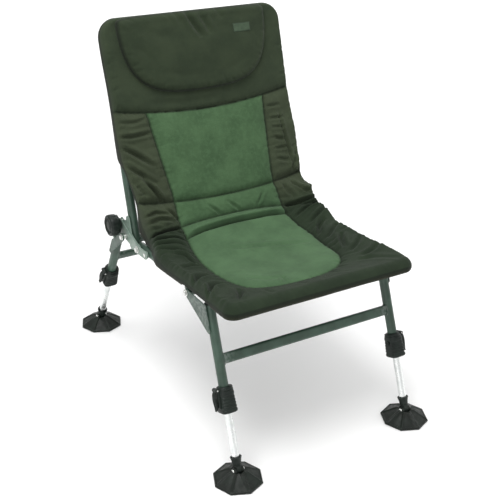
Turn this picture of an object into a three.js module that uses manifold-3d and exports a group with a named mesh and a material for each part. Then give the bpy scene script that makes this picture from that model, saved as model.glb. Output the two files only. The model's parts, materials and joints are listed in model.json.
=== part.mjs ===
// Folding carp fishing chair with a reclining back, two folding leg frames,
// four telescopic legs and four swivelling mud feet.
//
// Millimetres, +Z up. The ground is z = 0, the chair is symmetric about x = 0,
// its front faces -Y, and the origin is midway between the four feet.
import * as THREE from "three";
import { mergeVertices } from "three/addons/utils/BufferGeometryUtils.js";
import Module from "manifold-3d";

const wasm = await Module();
wasm.setup();

// ---------------------------------------------------------------- dimensions
const TUBE_R = 11;            // steel frame tube, 22 mm outside
const TUBE_RI = 9;            // its bore
const INNER_R = 8.5;          // telescopic aluminium leg, 17 mm outside
const INNER_RI = 7.2;
const GAP = 0.3;              // running and touching clearance
const SEG = 16;               // sides of the frame tubes

// seat frame: two rails that slope down to the back, joined by a front bar
const RAIL_X = 226.5;
const RAIL_SLOPE = -0.0791;
const railZ = (y) => 387.5 + RAIL_SLOPE * (y + 258);
const SEAT_FRONT_Y = -346;
const SEAT_BEND = 55;
const RAIL_END_Y = 96;
const SEAT_CROSS_Y = 66;

// backrest hinge and the back frame that leans 16 degrees behind it
const P1 = [82, railZ(82)];
const LEAN = THREE.MathUtils.degToRad(16);
const BACK_OFFSET = 41.2;     // the back tube stands this far behind the hinge
const BACK_TOP = 523;         // top bar, measured up the back from the hinge
const BACK_BEND = 60;
const BACK_CROSS_U = 18;

// recliner: clamp bolt on the seat, arc slot on the back
const KB = [180, 391];
const SLOT_R = Math.hypot(KB[0] - P1[0], KB[1] - P1[1]);
const SLOT_A = Math.atan2(KB[1] - P1[1], KB[0] - P1[0]);
const RECLINE = THREE.MathUtils.degToRad(6);
const BRK_X = [238.4, 240.9]; // back bracket plate
const ARM_X = [241.4, 243.9]; // recliner arm plate of the seat
const WHEEL_R = 27.5;

// front leg frame: pivots on A, its capped tops bear up against the rails
const A = [-169, 363];
const FT = [226.5, -251, 370];
const FH = [230, -385, 24];
const F_CLAMP = [180, 238];
const F_OUTER_END = 214;
const F_CROSS = 122.5;
const F_GUSSET_X = [238.4, 240.9];

// rear leg frame: pivots on R, its gussets bear up against stop studs
const R = [146, 370];
const STOP = [197, 352];
const RT = [242, 178, 388];
const RH = [232, 385, 24];
const R_TOP = 56;
const R_CLAMP = [188, 246];
const R_OUTER_END = 222;
const R_CROSS = 134;
const R_GUSSET_X = [253.3, 255.8];

// feet
const FOOT_R = 57;            // corner radius of the octagonal mud foot
const FOOT_TOP = 26;          // height of its crown
const HUB_Z = 24;
const CUP = [12.6, 32];       // socket at the leg end, measured up from the pin

// ----------------------------------------------------------------- materials
const steel = () => new THREE.MeshStandardMaterial({ color: 0x47554e, roughness: 0.45, metalness: 0.55 });
const bright = () => new THREE.MeshStandardMaterial({ color: 0xc9ccca, roughness: 0.3, metalness: 0.95 });
const alu = () => new THREE.MeshStandardMaterial({ color: 0xdfe2e1, roughness: 0.3, metalness: 0.9 });
const plastic = () => new THREE.MeshStandardMaterial({ color: 0x1d2020, roughness: 0.6, metalness: 0.0 });
const cloth = (c) => new THREE.MeshStandardMaterial({ color: c, roughness: 0.9, metalness: 0.0 });

// ------------------------------------------------------------------- helpers
function solid(geometry) {
  let g = geometry.clone();
  for (const k of Object.keys(g.attributes)) if (k !== "position") g.deleteAttribute(k);
  g = mergeVertices(g, 1e-4);
  return new wasm.Manifold(new wasm.Mesh({
    numProp: 3,
    vertProperties: new Float32Array(g.attributes.position.array),
    triVerts: new Uint32Array(g.index.array),
  }));
}
function shell(manifold) {
  const m = manifold.getMesh();
  const g = new THREE.BufferGeometry();
  g.setAttribute("position", new THREE.BufferAttribute(new Float32Array(m.vertProperties), 3));
  g.setIndex(new THREE.BufferAttribute(new Uint32Array(m.triVerts), 1));
  g.computeVertexNormals();
  return g;
}
const join = (...g) => shell(g.map(solid).reduce((a, b) => a.add(b)));
const cut = (g, ...tools) => shell(tools.map(solid).reduce((a, b) => a.subtract(b), solid(g)));

// shape coordinates (u, v) are (y, z) of the chair, extruded along x
const YZ_TO_XYZ = new THREE.Matrix4().set(0, 0, 1, 0, 1, 0, 0, 0, 0, 1, 0, 0, 0, 0, 0, 1);
function plateX(shape, x0, x1, curveSegments = 3, bevel = 0) {
  const lo = Math.min(x0, x1) + bevel, hi = Math.max(x0, x1) - bevel;
  const g = new THREE.ExtrudeGeometry(shape, {
    depth: hi - lo, steps: 1, curveSegments,
    bevelEnabled: bevel > 0, bevelSize: bevel, bevelThickness: bevel, bevelOffset: -bevel, bevelSegments: 1,
  });
  g.translate(0, 0, lo);
  return g.applyMatrix4(YZ_TO_XYZ);
}
const disc = (y, z, r) => { const s = new THREE.Shape(); s.absarc(y, z, r, 0, 2 * Math.PI, false); return s; };
const rodX = (y, z, r, x0, x1, n = 6) => plateX(disc(y, z, r), x0, x1, n);
function capsule(p, q, rp, rq = rp) {
  const a = Math.atan2(q[1] - p[1], q[0] - p[0]);
  const d = Math.hypot(q[0] - p[0], q[1] - p[1]);
  const t = Math.acos((rp - rq) / d);
  const s = new THREE.Shape();
  s.absarc(p[0], p[1], rp, a + t, a + 2 * Math.PI - t, false);
  s.absarc(q[0], q[1], rq, a - t, a + t, false);
  s.closePath();
  return s;
}
const poly = (pts) => new THREE.Shape(pts.map(([y, z]) => new THREE.Vector2(y, z)));
function arcBand(c, r, half, a0, a1) {
  const s = new THREE.Shape();
  s.absarc(c[0], c[1], r + half, a0, a1, false);
  s.absarc(c[0] + r * Math.cos(a1), c[1] + r * Math.sin(a1), half, a1, a1 + Math.PI, false);
  s.absarc(c[0], c[1], r - half, a1, a0, true);
  s.absarc(c[0] + r * Math.cos(a0), c[1] + r * Math.sin(a0), half, a0 + Math.PI, a0 + 2 * Math.PI, false);
  s.closePath();
  return s;
}
// a turned piece about local z from a closed [radius, height] profile
function turned(profile, segments = SEG) {
  const g = new THREE.LatheGeometry(profile.map(([r, z]) => new THREE.Vector2(r, z)), segments);
  return g.rotateX(Math.PI / 2);
}
const pipe = (ro, ri, z0, z1, n = SEG) => turned([[ri, z0], [ro, z0], [ro, z1], [ri, z1], [ri, z0]], n);
const bar = (r, z0, z1, n = SEG) => turned([[0, z0], [r, z0], [r, z1], [0, z1]], n);

// a flat run of straight lines and round bends for a bent tube, with one ring
// at each end of a straight and a few on each bend
class BentRun extends THREE.Curve {
  constructor(points, radius, steps) {
    super();
    this.nodes = [];
    this.dirs = [];
    const n = points.length;
    for (let i = 0; i < n; i++) {
      const p = points[i];
      if (i === 0 || i === n - 1) {
        const d = i === 0 ? points[1].clone().sub(p) : p.clone().sub(points[n - 2]);
        this.nodes.push(p.clone());
        this.dirs.push(d.normalize());
        continue;
      }
      const din = p.clone().sub(points[i - 1]).normalize();
      const dout = points[i + 1].clone().sub(p).normalize();
      const turn = Math.acos(THREE.MathUtils.clamp(din.dot(dout), -1, 1));
      const back = radius * Math.tan(turn / 2);
      const start = p.clone().addScaledVector(din, -back);
      const axis = din.clone().cross(dout).normalize();
      const inward = axis.clone().cross(din).normalize();
      const centre = start.clone().addScaledVector(inward, radius);
      for (let k = 0; k <= steps; k++) {
        const a = (turn * k) / steps;
        const q = new THREE.Quaternion().setFromAxisAngle(axis, a);
        this.nodes.push(start.clone().sub(centre).applyQuaternion(q).add(centre));
        this.dirs.push(din.clone().applyQuaternion(q));
        this.normal = axis;
      }
    }
  }
  get count() { return this.nodes.length - 1; }
  getPoint(t) {
    const k = Math.min(this.count - 1, Math.floor(t * this.count));
    return this.nodes[k].clone().lerp(this.nodes[k + 1], t * this.count - k);
  }
  getSpacedPoints() { return this.nodes.map((v) => v.clone()); }
  computeFrenetFrames() {
    const normals = this.dirs.map(() => this.normal.clone());
    const binormals = this.dirs.map((d, i) => d.clone().cross(normals[i]));
    return { tangents: this.dirs.map((d) => d.clone()), normals, binormals };
  }
}
function ring(ro, ri) {
  const s = new THREE.Shape();
  s.absarc(0, 0, ro, 0, 2 * Math.PI, false);
  if (ri > 0) { const h = new THREE.Path(); h.absarc(0, 0, ri, 0, 2 * Math.PI, true); s.holes.push(h); }
  return s;
}
function bentTube(points, radius, ro, ri, steps = 4, sides = SEG) {
  const run = new BentRun(points.map((p) => new THREE.Vector3(...p)), radius, steps);
  return new THREE.ExtrudeGeometry(ring(ro, ri), { steps: run.count, extrudePath: run, bevelEnabled: false, curveSegments: sides / 2 });
}
const rounded = (w, h, r) => {
  const s = new THREE.Shape();
  s.moveTo(-w / 2 + r, -h / 2);
  s.lineTo(w / 2 - r, -h / 2); s.absarc(w / 2 - r, -h / 2 + r, r, -Math.PI / 2, 0, false);
  s.lineTo(w / 2, h / 2 - r); s.absarc(w / 2 - r, h / 2 - r, r, 0, Math.PI / 2, false);
  s.lineTo(-w / 2 + r, h / 2); s.absarc(-w / 2 + r, h / 2 - r, r, Math.PI / 2, Math.PI, false);
  s.lineTo(-w / 2, -h / 2 + r); s.absarc(-w / 2 + r, -h / 2 + r, r, Math.PI, 1.5 * Math.PI, false);
  return s;
};

const chair = new THREE.Group();
function put(name, geometry, material, parent = chair) {
  const m = new THREE.Mesh(geometry, material);
  m.name = name;
  parent.add(m);
  return m;
}
const side = (s) => (s < 0 ? "left" : "right");
const span = (s, x) => (s < 0 ? [-x[1], -x[0]] : [x[0], x[1]]);

// --------------------------------------------------------------- seat frame
const seatRun = [
  [-RAIL_X, RAIL_END_Y, railZ(RAIL_END_Y)], [-RAIL_X, SEAT_FRONT_Y, railZ(SEAT_FRONT_Y)],
  [RAIL_X, SEAT_FRONT_Y, railZ(SEAT_FRONT_Y)], [RAIL_X, RAIL_END_Y, railZ(RAIL_END_Y)],
];
{
  let g = bentTube(seatRun, SEAT_BEND, TUBE_R, TUBE_RI);
  g = cut(g, rodX(P1[0], P1[1], 4.3, -260, 260));
  put("seat_frame_tube", g, steel());
  const crossZ = railZ(SEAT_CROSS_Y);
  const cross = new THREE.ExtrudeGeometry(ring(9, 7.5), { depth: 2 * RAIL_X, steps: 1, bevelEnabled: false, curveSegments: 8 });
  cross.translate(0, 0, -RAIL_X).applyMatrix4(YZ_TO_XYZ).translate(0, SEAT_CROSS_Y, crossZ);
  const a = new THREE.Vector3(0, -1, -RAIL_SLOPE).normalize();
  const clear = (s) => bar(TUBE_R + GAP, -60, 60).applyMatrix4(
    basis([s * RAIL_X, SEAT_CROSS_Y, crossZ], a.clone().negate(), [1, 0, 0]));
  put("seat_rear_cross_tube", cut(cross, clear(-1), clear(1)), steel());
}

// a frame whose z runs along a direction and whose x stays near a given one
function basis(origin, zDir, xNear) {
  const z = new THREE.Vector3(...(zDir.isVector3 ? zDir.toArray() : zDir)).normalize();
  const x = new THREE.Vector3(...xNear);
  x.addScaledVector(z, -x.dot(z)).normalize();
  const y = z.clone().cross(x);
  return new THREE.Matrix4().makeBasis(x, y, z).setPosition(...origin);
}

// ------------------------------------------------- plates, bolts, knob wheels
const along = (c, r, a) => [c[0] + r * Math.cos(a), c[1] + r * Math.sin(a)];
const U = [Math.sin(LEAN), Math.cos(LEAN)];                 // up the back
const N = [Math.cos(LEAN), -Math.sin(LEAN)];                // out of its rear face
const backPt = (n, u) => [P1[0] + n * N[0] + u * U[0], P1[1] + n * N[1] + u * U[1]];

for (const s of [-1, 1]) {
  const lug = join(
    plateX(disc(A[0], A[1], 8.6), ...span(s, [217, 237.6]), 6),
    plateX(poly([[A[0] - 8.6, A[1]], [A[0] + 8.6, A[1]], [A[0] + 16, A[1] + 4], [A[0] + 16, A[1] + 7.6], [A[0] - 16, A[1] + 7.6], [A[0] - 16, A[1] + 4]]), ...span(s, [217, 236])),
  );
  const railAxis = basis([s * RAIL_X, A[0], railZ(A[0])], [0, 1, RAIL_SLOPE], [1, 0, 0]);
  put(`front_hinge_lug_${side(s)}`,
    cut(lug, bar(TUBE_R + GAP, -60, 60).applyMatrix4(railAxis), rodX(A[0], A[1], 4.3, ...span(s, [200, 260]))), steel());

  put(`front_pivot_bolt_${side(s)}`, join(
    rodX(A[0], A[1], 4, ...span(s, [213, 245.4])),
    rodX(A[0], A[1], 8.5, ...span(s, [241.2, 242.8]), 8),
    rodX(A[0], A[1], 6.2, ...span(s, [242.6, 246.6]), 3),
    rodX(A[0], A[1], 6.6, ...span(s, [211.4, 216.7]), 3)), bright());

  // recliner arm: bolted at the back hinge, carries the clamp bolt, the rear
  // leg pivot and the stop stud; its front end is packed out to the rail
  const arm = join(
    plateX(capsule([40, railZ(40)], P1, 11), ...span(s, ARM_X)),
    plateX(capsule(P1, R, 11, 10.5), ...span(s, ARM_X)),
    plateX(capsule(P1, KB, 11, 13), ...span(s, ARM_X)),
    plateX(capsule(R, KB, 10.5, 13), ...span(s, ARM_X)),
    plateX(capsule(KB, STOP, 12, 9), ...span(s, ARM_X)),
    plateX(poly([R, KB, [STOP[0] - 4, STOP[1] + 4]]), ...span(s, ARM_X)),
    rodX(40, railZ(40), 9, ...span(s, [RAIL_X + TUBE_R + GAP, 242])),
    rodX(STOP[0], STOP[1], 4.5, ...span(s, [243, 257.5])),
  );
  put(`recliner_arm_${side(s)}`, cut(arm,
    rodX(P1[0], P1[1], 4.3, ...span(s, [230, 260])),
    rodX(R[0], R[1], 4.3, ...span(s, [230, 260])),
    rodX(KB[0], KB[1], 3.9, ...span(s, [230, 260]))), steel());

  // back bracket: lies on the outer side of the back tube, turns on the hinge
  // bolt, and its arc slot, open at the lower end, slides on the clamp bolt
  const a0 = SLOT_A - THREE.MathUtils.degToRad(6.5), a1 = SLOT_A + RECLINE;
  const brk = join(
    plateX(capsule(P1, backPt(BACK_OFFSET, 8), 13, 10.5), ...span(s, BRK_X)),
    plateX(capsule(backPt(BACK_OFFSET, 6), backPt(BACK_OFFSET, 68), 10.5, 10.5), ...span(s, BRK_X)),
    plateX(poly([P1, backPt(BACK_OFFSET, 2), backPt(BACK_OFFSET, 40), [P1[0] + 4, P1[1] + 11]]), ...span(s, BRK_X)),
    plateX(capsule(backPt(BACK_OFFSET, 34), along(P1, SLOT_R, SLOT_A), 8.5, 7.6), ...span(s, BRK_X)),
    plateX(arcBand(P1, SLOT_R, 8, a0, a1), ...span(s, BRK_X), 4),
    plateX(poly([backPt(BACK_OFFSET, 30), backPt(BACK_OFFSET, 66), along(P1, SLOT_R + 4, a1), along(P1, SLOT_R - 4, SLOT_A)]), ...span(s, BRK_X)),
  );
  const slot = join(
    plateX(arcBand(P1, SLOT_R, 4, SLOT_A - 0.02, a1), ...span(s, [230, 250]), 4),
    plateX(arcBand(P1, SLOT_R, 4.3, SLOT_A - 0.34, SLOT_A - 0.02), ...span(s, [230, 250]), 5),
  );
  put(`back_bracket_${side(s)}`, cut(brk, slot, rodX(P1[0], P1[1], 4.3, ...span(s, [230, 250]))), steel());

  put(`back_hinge_bolt_${side(s)}`, join(
    rodX(P1[0], P1[1], 4, ...span(s, [211, 247])),
    rodX(P1[0], P1[1], 8.5, ...span(s, [244.2, 245.8]), 8),
    rodX(P1[0], P1[1], 6.2, ...span(s, [245.6, 249.6]), 3),
    rodX(P1[0], P1[1], 6.6, ...span(s, [209.6, 215.2]), 3)), bright());

  put(`rear_pivot_bolt_${side(s)}`, join(
    rodX(R[0], R[1], 4, ...span(s, [241.6, 258])),
    rodX(R[0], R[1], 5.6, ...span(s, [244.2, 253])),
    rodX(R[0], R[1], 7.4, ...span(s, [256.1, 257.5]), 8),
    rodX(R[0], R[1], 5.6, ...span(s, [257.3, 260.6]), 3)), bright());

  put(`clamp_bolt_${side(s)}`, join(
    rodX(KB[0], KB[1], 3.6, ...span(s, [236, 264])),
    rodX(KB[0], KB[1], 8, ...span(s, [234.9, 238.1]), 8)), bright());

  // hand wheel: scalloped rim, dished outer face, threaded boss
  const rim = new THREE.Shape();
  for (let i = 0; i <= 32; i++) {
    const a = (i / 32) * 2 * Math.PI, r = WHEEL_R - 1.4 + 1.4 * Math.cos(8 * a);
    if (i === 0) rim.moveTo(KB[0] + r * Math.cos(a), KB[1] + r * Math.sin(a));
    else if (i < 32) rim.lineTo(KB[0] + r * Math.cos(a), KB[1] + r * Math.sin(a));
  }
  rim.closePath();
  const wheel = join(
    plateX(rim, ...span(s, [256.2, 277]), 1, 2.6),
    rodX(KB[0], KB[1], 24.5, ...span(s, [250, 259]), 8),
    rodX(KB[0], KB[1], 13, ...span(s, [244.2, 252]), 8));
  put(`hand_wheel_${side(s)}`, cut(wheel,
    rodX(KB[0], KB[1], 19, ...span(s, [273, 282]), 9),
    rodX(KB[0], KB[1], 3.9, ...span(s, [230, 264.5]))), plastic());
}

// --------------------------------------------------------------- back frame
{
  const pt = (x, u) => [x, ...backPt(BACK_OFFSET, u)];
  put("back_frame_tube", bentTube(
    [pt(-RAIL_X, 0), pt(-RAIL_X, BACK_TOP), pt(RAIL_X, BACK_TOP), pt(RAIL_X, 0)], BACK_BEND, TUBE_R, TUBE_RI), steel());
  const c = backPt(BACK_OFFSET, BACK_CROSS_U);
  const cross = new THREE.ExtrudeGeometry(ring(9, 7.5), { depth: 2 * RAIL_X, steps: 1, bevelEnabled: false, curveSegments: 8 });
  cross.translate(0, 0, -RAIL_X).applyMatrix4(YZ_TO_XYZ).translate(0, c[0], c[1]);
  const clear = (s) => bar(TUBE_R + GAP, -60, 60).applyMatrix4(basis([s * RAIL_X, c[0], c[1]], [0, U[0], U[1]], [1, 0, 0]));
  put("back_cross_tube", cut(cross, clear(-1), clear(1)), steel());
}

// ------------------------------------------------------------------ cushions
// local frames: v runs up out of the seat or back surface
function padFrame(origin, along2, out2) {
  return new THREE.Matrix4().makeBasis(
    new THREE.Vector3(1, 0, 0), new THREE.Vector3(0, ...along2), new THREE.Vector3(0, ...out2)).setPosition(0, ...origin);
}
function slab(shape, z0, z1, bevel, curveSegments = 3, bevelSegments = 1) {
  const g = new THREE.ExtrudeGeometry(shape, {
    depth: z1 - z0 - 2 * bevel, steps: 1, curveSegments, bevelEnabled: bevel > 0,
    bevelSize: bevel, bevelThickness: bevel, bevelOffset: -bevel, bevelSegments,
  });
  return g.translate(0, 0, z0 + bevel);
}
// the belly below a slung pad, or the dish in its top: three stepped slopes
// from the edge of the sag in to its lowest part
function sling(y0, y1, top, below) {
  const s = new THREE.Shape();
  const z = below ? -8.5 : top + 0.5;
  const w = below ? 190 : 205;
  const deep = below ? -23 : top - 16;
  s.moveTo(-w, z); s.lineTo(-w * 0.55, deep + (below ? 3 : 4)); s.lineTo(-w * 0.25, deep); s.lineTo(w * 0.25, deep);
  s.lineTo(w * 0.55, deep + (below ? 3 : 4)); s.lineTo(w, z);
  if (below) { s.lineTo(w, z + 2); s.lineTo(-w, z + 2); }
  s.closePath();
  const a = y0, b = y1, n = 4, run = [];
  const g = new THREE.ExtrudeGeometry(s, { depth: 1, steps: n, bevelEnabled: false });
  // stretch the steps along the pad, and fade the depth out at both ends
  const at = [0, 0.22, 0.5, 0.78, 1].map((t) => a + (b - a) * t), k = [0, 0.8, 1, 0.8, 0];
  const v = g.attributes.position;
  for (let i = 0; i < v.count; i++) {
    const j = Math.round(v.getZ(i) * n), edge = below ? -7.5 : top + 0.4;
    const h = v.getY(i);
    const faded = h < edge ? edge + (h - edge) * k[j] : h;
    v.setXYZ(i, v.getX(i), at[j], faded);
  }
  return flip(g);
}
function flip(g) {
  const m = mergeVertices(strip(g), 1e-4);
  const ix = Array.from(m.index.array);
  for (let i = 0; i < ix.length; i += 3) [ix[i + 1], ix[i + 2]] = [ix[i + 2], ix[i + 1]];
  m.setIndex(ix);
  return m;
}
function strip(g) {
  const c = g.clone();
  for (const k of Object.keys(c.attributes)) if (k !== "position") c.deleteAttribute(k);
  return c;
}
const roundRect = (x0, y0, x1, y1, rA, rB) => {          // rA rounds the y0 corners, rB the y1 corners
  const s = new THREE.Shape();
  s.moveTo(x0 + rA, y0); s.lineTo(x1 - rA, y0); s.absarc(x1 - rA, y0 + rA, rA, -Math.PI / 2, 0, false);
  s.lineTo(x1, y1 - rB); s.absarc(x1 - rB, y1 - rB, rB, 0, Math.PI / 2, false);
  s.lineTo(x0 + rB, y1); s.absarc(x0 + rB, y1 - rB, rB, Math.PI / 2, Math.PI, false);
  s.lineTo(x0, y0 + rA); s.absarc(x0 + rA, y0 + rA, rA, Math.PI, 1.5 * Math.PI, false);
  return s;
};
{
  // seat pad: wraps over the rails and the front bar, narrower at the hinge
  const k = Math.hypot(1, RAIL_SLOPE);
  const f = padFrame([0, railZ(0)], [1 / k, RAIL_SLOPE / k], [-RAIL_SLOPE / k, 1 / k]);
  const front = (SEAT_FRONT_Y) * k - 16.5;
  let g = join(
    slab(roundRect(-242.5, front, 242.5, 26, 32, 12), -8, 20, 4),
    slab(roundRect(-212, -200, 212, 48, 10, 10), -8, 20, 4));
  g = cut(join(g, sling(-300, 44, 20, true)), sling(-300, 44, 20, false)).applyMatrix4(f);
  g = cut(g, bentTube(seatRun, SEAT_BEND, 12.4, 0, 4, 8));
  put("seat_pad", g, cloth(0x55604b));

  // back pad: wraps over the upper part of the back frame, its lower part lies
  // between the bare tubes
  const b = padFrame(backPt(BACK_OFFSET, 0), U, [-N[0], -N[1]]);
  const pt = (x, u) => [x, ...backPt(BACK_OFFSET, u)];
  let h = join(
    slab(roundRect(-242.5, 200, 242.5, BACK_TOP + 16.5, 14, 46), -8, 18, 4),
    slab(roundRect(-212, 36, 212, 240, 10, 10), -8, 18, 4));
  h = cut(join(h, sling(46, 330, 18, true)), sling(46, 330, 18, false)).applyMatrix4(b);
  h = cut(h, bentTube([pt(-RAIL_X, 0), pt(-RAIL_X, BACK_TOP), pt(RAIL_X, BACK_TOP), pt(RAIL_X, 0)], BACK_BEND, 12.4, 0, 4, 8));
  put("back_pad", h, cloth(0x55604b));
  put("headrest_pillow", slab(roundRect(-190, 368, 190, 534, 60, 30), 18.3, 46, 9).applyMatrix4(b), cloth(0x3a423a));
}

// ---------------------------------------------------------------- leg frames
const flatOval = (w, h) => rounded(w, h, Math.min(w, h) / 2 - 0.01);
function legFrame(kind, top, hub, clamp, outerEnd, topCut, crossAt) {
  for (const s of [-1, 1]) {
    const T = new THREE.Vector3(s * top[0], top[1], top[2]);
    const H = new THREE.Vector3(s * hub[0], hub[1], hub[2]);
    const up = T.clone().sub(H).normalize();
    const leg = new THREE.Group();
    leg.applyMatrix4(basis(T.toArray(), up, [s, 0, 0]));   // x points outward, z up the leg
    chair.add(leg);
    const len = T.distanceTo(H);
    const tag = `${kind}_${side(s)}`;

    put(`${kind}_leg_tube_${side(s)}`, pipe(TUBE_R, TUBE_RI, -outerEnd, -topCut), steel(), leg);

    // two-diameter clamp: grips the outer tube above and the sliding leg below
    const zc = [-clamp[1], -clamp[0]];
    const body = slab(rounded(37, 38, 12), zc[0], zc[1], 2, 2, 1);
    const cheek = slab(rounded(9, 24, 2.5), zc[0] + 6, zc[1] - 3, 1.5, 1, 1).translate(20, 0, 0);
    put(`${kind}_clamp_body_${side(s)}`, cut(join(body, cheek),
      bar(TUBE_R + GAP, -outerEnd - 1, zc[1] + 20),
      bar(INNER_R + GAP, zc[0] - 20, -outerEnd + 5),
      slab(rounded(14, 12, 0.6), zc[0] + 7.5, zc[1] + 10, 0, 1).translate(22, 0, 0)), plastic(), leg);
    // cam lever: lies along the clamp, hinged near its top, finger tip at the foot end
    const lz = zc[1] - 5;
    const lever = new THREE.Shape();
    lever.absarc(20, lz, 4.6, 0, Math.PI, false);
    lever.lineTo(15.6, lz - 8);
    lever.lineTo(18.6, lz - 30);
    lever.lineTo(25.5, lz - 46);
    lever.lineTo(28.4, lz - 45);
    lever.lineTo(24.9, lz - 28);
    lever.closePath();
    const lv = new THREE.ExtrudeGeometry(lever, { depth: 11, steps: 1, bevelEnabled: false, curveSegments: 4 });
    lv.translate(0, 0, -5.5).rotateX(Math.PI / 2);         // shape (x, z) of the leg frame
    put(`${kind}_cam_lever_${side(s)}`, lv, plastic(), leg);

    put(`${kind}_inner_leg_${side(s)}`,
      pipe(INNER_R, INNER_RI, -len + CUP[0] + 3.3, -len + CUP[1] + (kind === "front" ? 243 : 241)), alu(), leg);

    // socket on the leg end: flared cup, with a flat tongue drilled for the pin
    const cup = turned([[0, CUP[0]], [9.5, CUP[0]], [12.2, CUP[1] - 5], [13, CUP[1]], [INNER_R + GAP, CUP[1]],
      [INNER_R + GAP, CUP[0] + 3], [0, CUP[0] + 3]]);
    const tongue = new THREE.ExtrudeGeometry(capsule([0, 0], [0, CUP[0] - 5], 7.6), { depth: 12, steps: 1, bevelEnabled: false, curveSegments: 5 });
    tongue.translate(0, 0, -6).applyMatrix4(YZ_TO_XYZ);
    const core = bar(6, CUP[0] - 2, CUP[0] + 2.9, 12);
    const pinHole = rodX(0, 0, 3.3, -30, 30);
    put(`${kind}_leg_socket_${side(s)}`,
      cut(join(cup, tongue, core), pinHole).translate(0, 0, -len), plastic(), leg);

    // mud foot: faceted octagonal plate on the ground with two ears for the pin
    const foot = new THREE.Group();
    foot.position.set(H.x, H.y, 0);
    chair.add(foot);
    const oct = (r0, z0, r1, z1) => {
      const g = new THREE.CylinderGeometry(r1, r0, z1 - z0, 8, 1);
      return g.rotateX(Math.PI / 2).rotateZ(Math.PI / 8 + Math.PI / 8).translate(0, 0, (z0 + z1) / 2);
    };
    const parts = [oct(FOOT_R, 0, FOOT_R - 1.5, 3.2), oct(FOOT_R - 1.5, 3.1, 16, FOOT_TOP)];
    for (const e of [-1, 1]) {
      parts.push(plateX(capsule([0, 10], [0, HUB_Z], 9.4, 8.4), e * 6.6, e * 11.8));
    }
    put(`mud_foot_${tag}`, cut(join(...parts), rodX(0, HUB_Z, 3.3, -30, 30),
      rodX(0, HUB_Z, 8.4, -6.3, 6.3, 8),
      plateX(poly([[-6.8, HUB_Z - 5], [6.8, HUB_Z - 5], [10.6, HUB_Z], [20, HUB_Z + 12], [-20, HUB_Z + 12], [-10.6, HUB_Z]]), -6.3, 6.3),
      plateX(poly([[-6.2, HUB_Z - 5.8], [6.2, HUB_Z - 5.8], [6.2, HUB_Z + 12], [-6.2, HUB_Z + 12]]), 11.9, 32),
      plateX(poly([[-6.2, HUB_Z - 5.8], [6.2, HUB_Z - 5.8], [6.2, HUB_Z + 12], [-6.2, HUB_Z + 12]]), -32, -11.9)), plastic(), foot);
    put(`foot_pin_${tag}`, join(
      rodX(0, HUB_Z, 3, -13, 13, 6), rodX(0, HUB_Z, 5.2, -14.6, -12.1, 6), rodX(0, HUB_Z, 5.2, 12.1, 14.6, 6)), bright(), foot);
  }
}
legFrame("front", FT, FH, F_CLAMP, F_OUTER_END, 0.6, F_CROSS);
legFrame("rear", RT, RH, R_CLAMP, R_OUTER_END, R_TOP, R_CROSS);

// cross bars between the legs, flat oval section, ends scribed to the tubes
function crossBar(name, top, hub, at) {
  const up = new THREE.Vector3(0, top[1] - hub[1], top[2] - hub[2]).normalize();
  const t = at / new THREE.Vector3(...top).distanceTo(new THREE.Vector3(...hub));
  const c = [0, top[1] + (hub[1] - top[1]) * t, top[2] + (hub[2] - top[2]) * t];
  const half = top[0] + (hub[0] - top[0]) * t;
  const section = flatOval(13, 24);
  const hole = flatOval(10.4, 21.4);
  section.holes.push(new THREE.Path(hole.getPoints(4).reverse()));
  const g = new THREE.ExtrudeGeometry(section, { depth: 2 * half, steps: 1, bevelEnabled: false, curveSegments: 4 });
  const m = new THREE.Matrix4().makeBasis(
    new THREE.Vector3(0, -up.z, up.y), new THREE.Vector3(0, up.y, up.z), new THREE.Vector3(-1, 0, 0)).setPosition(...c);
  g.translate(0, 0, -half).applyMatrix4(m);
  const clear = (s) => bar(TUBE_R + GAP, -460, 40).applyMatrix4(
    basis([s * top[0], top[1], top[2]], [s * (top[0] - hub[0]), top[1] - hub[1], top[2] - hub[2]], [1, 0, 0]));
  put(name, cut(g, clear(-1), clear(1)), steel());
}
crossBar("front_cross_bar", FT, FH, F_CROSS);
crossBar("rear_cross_bar", RT, RH, R_CROSS);

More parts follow.
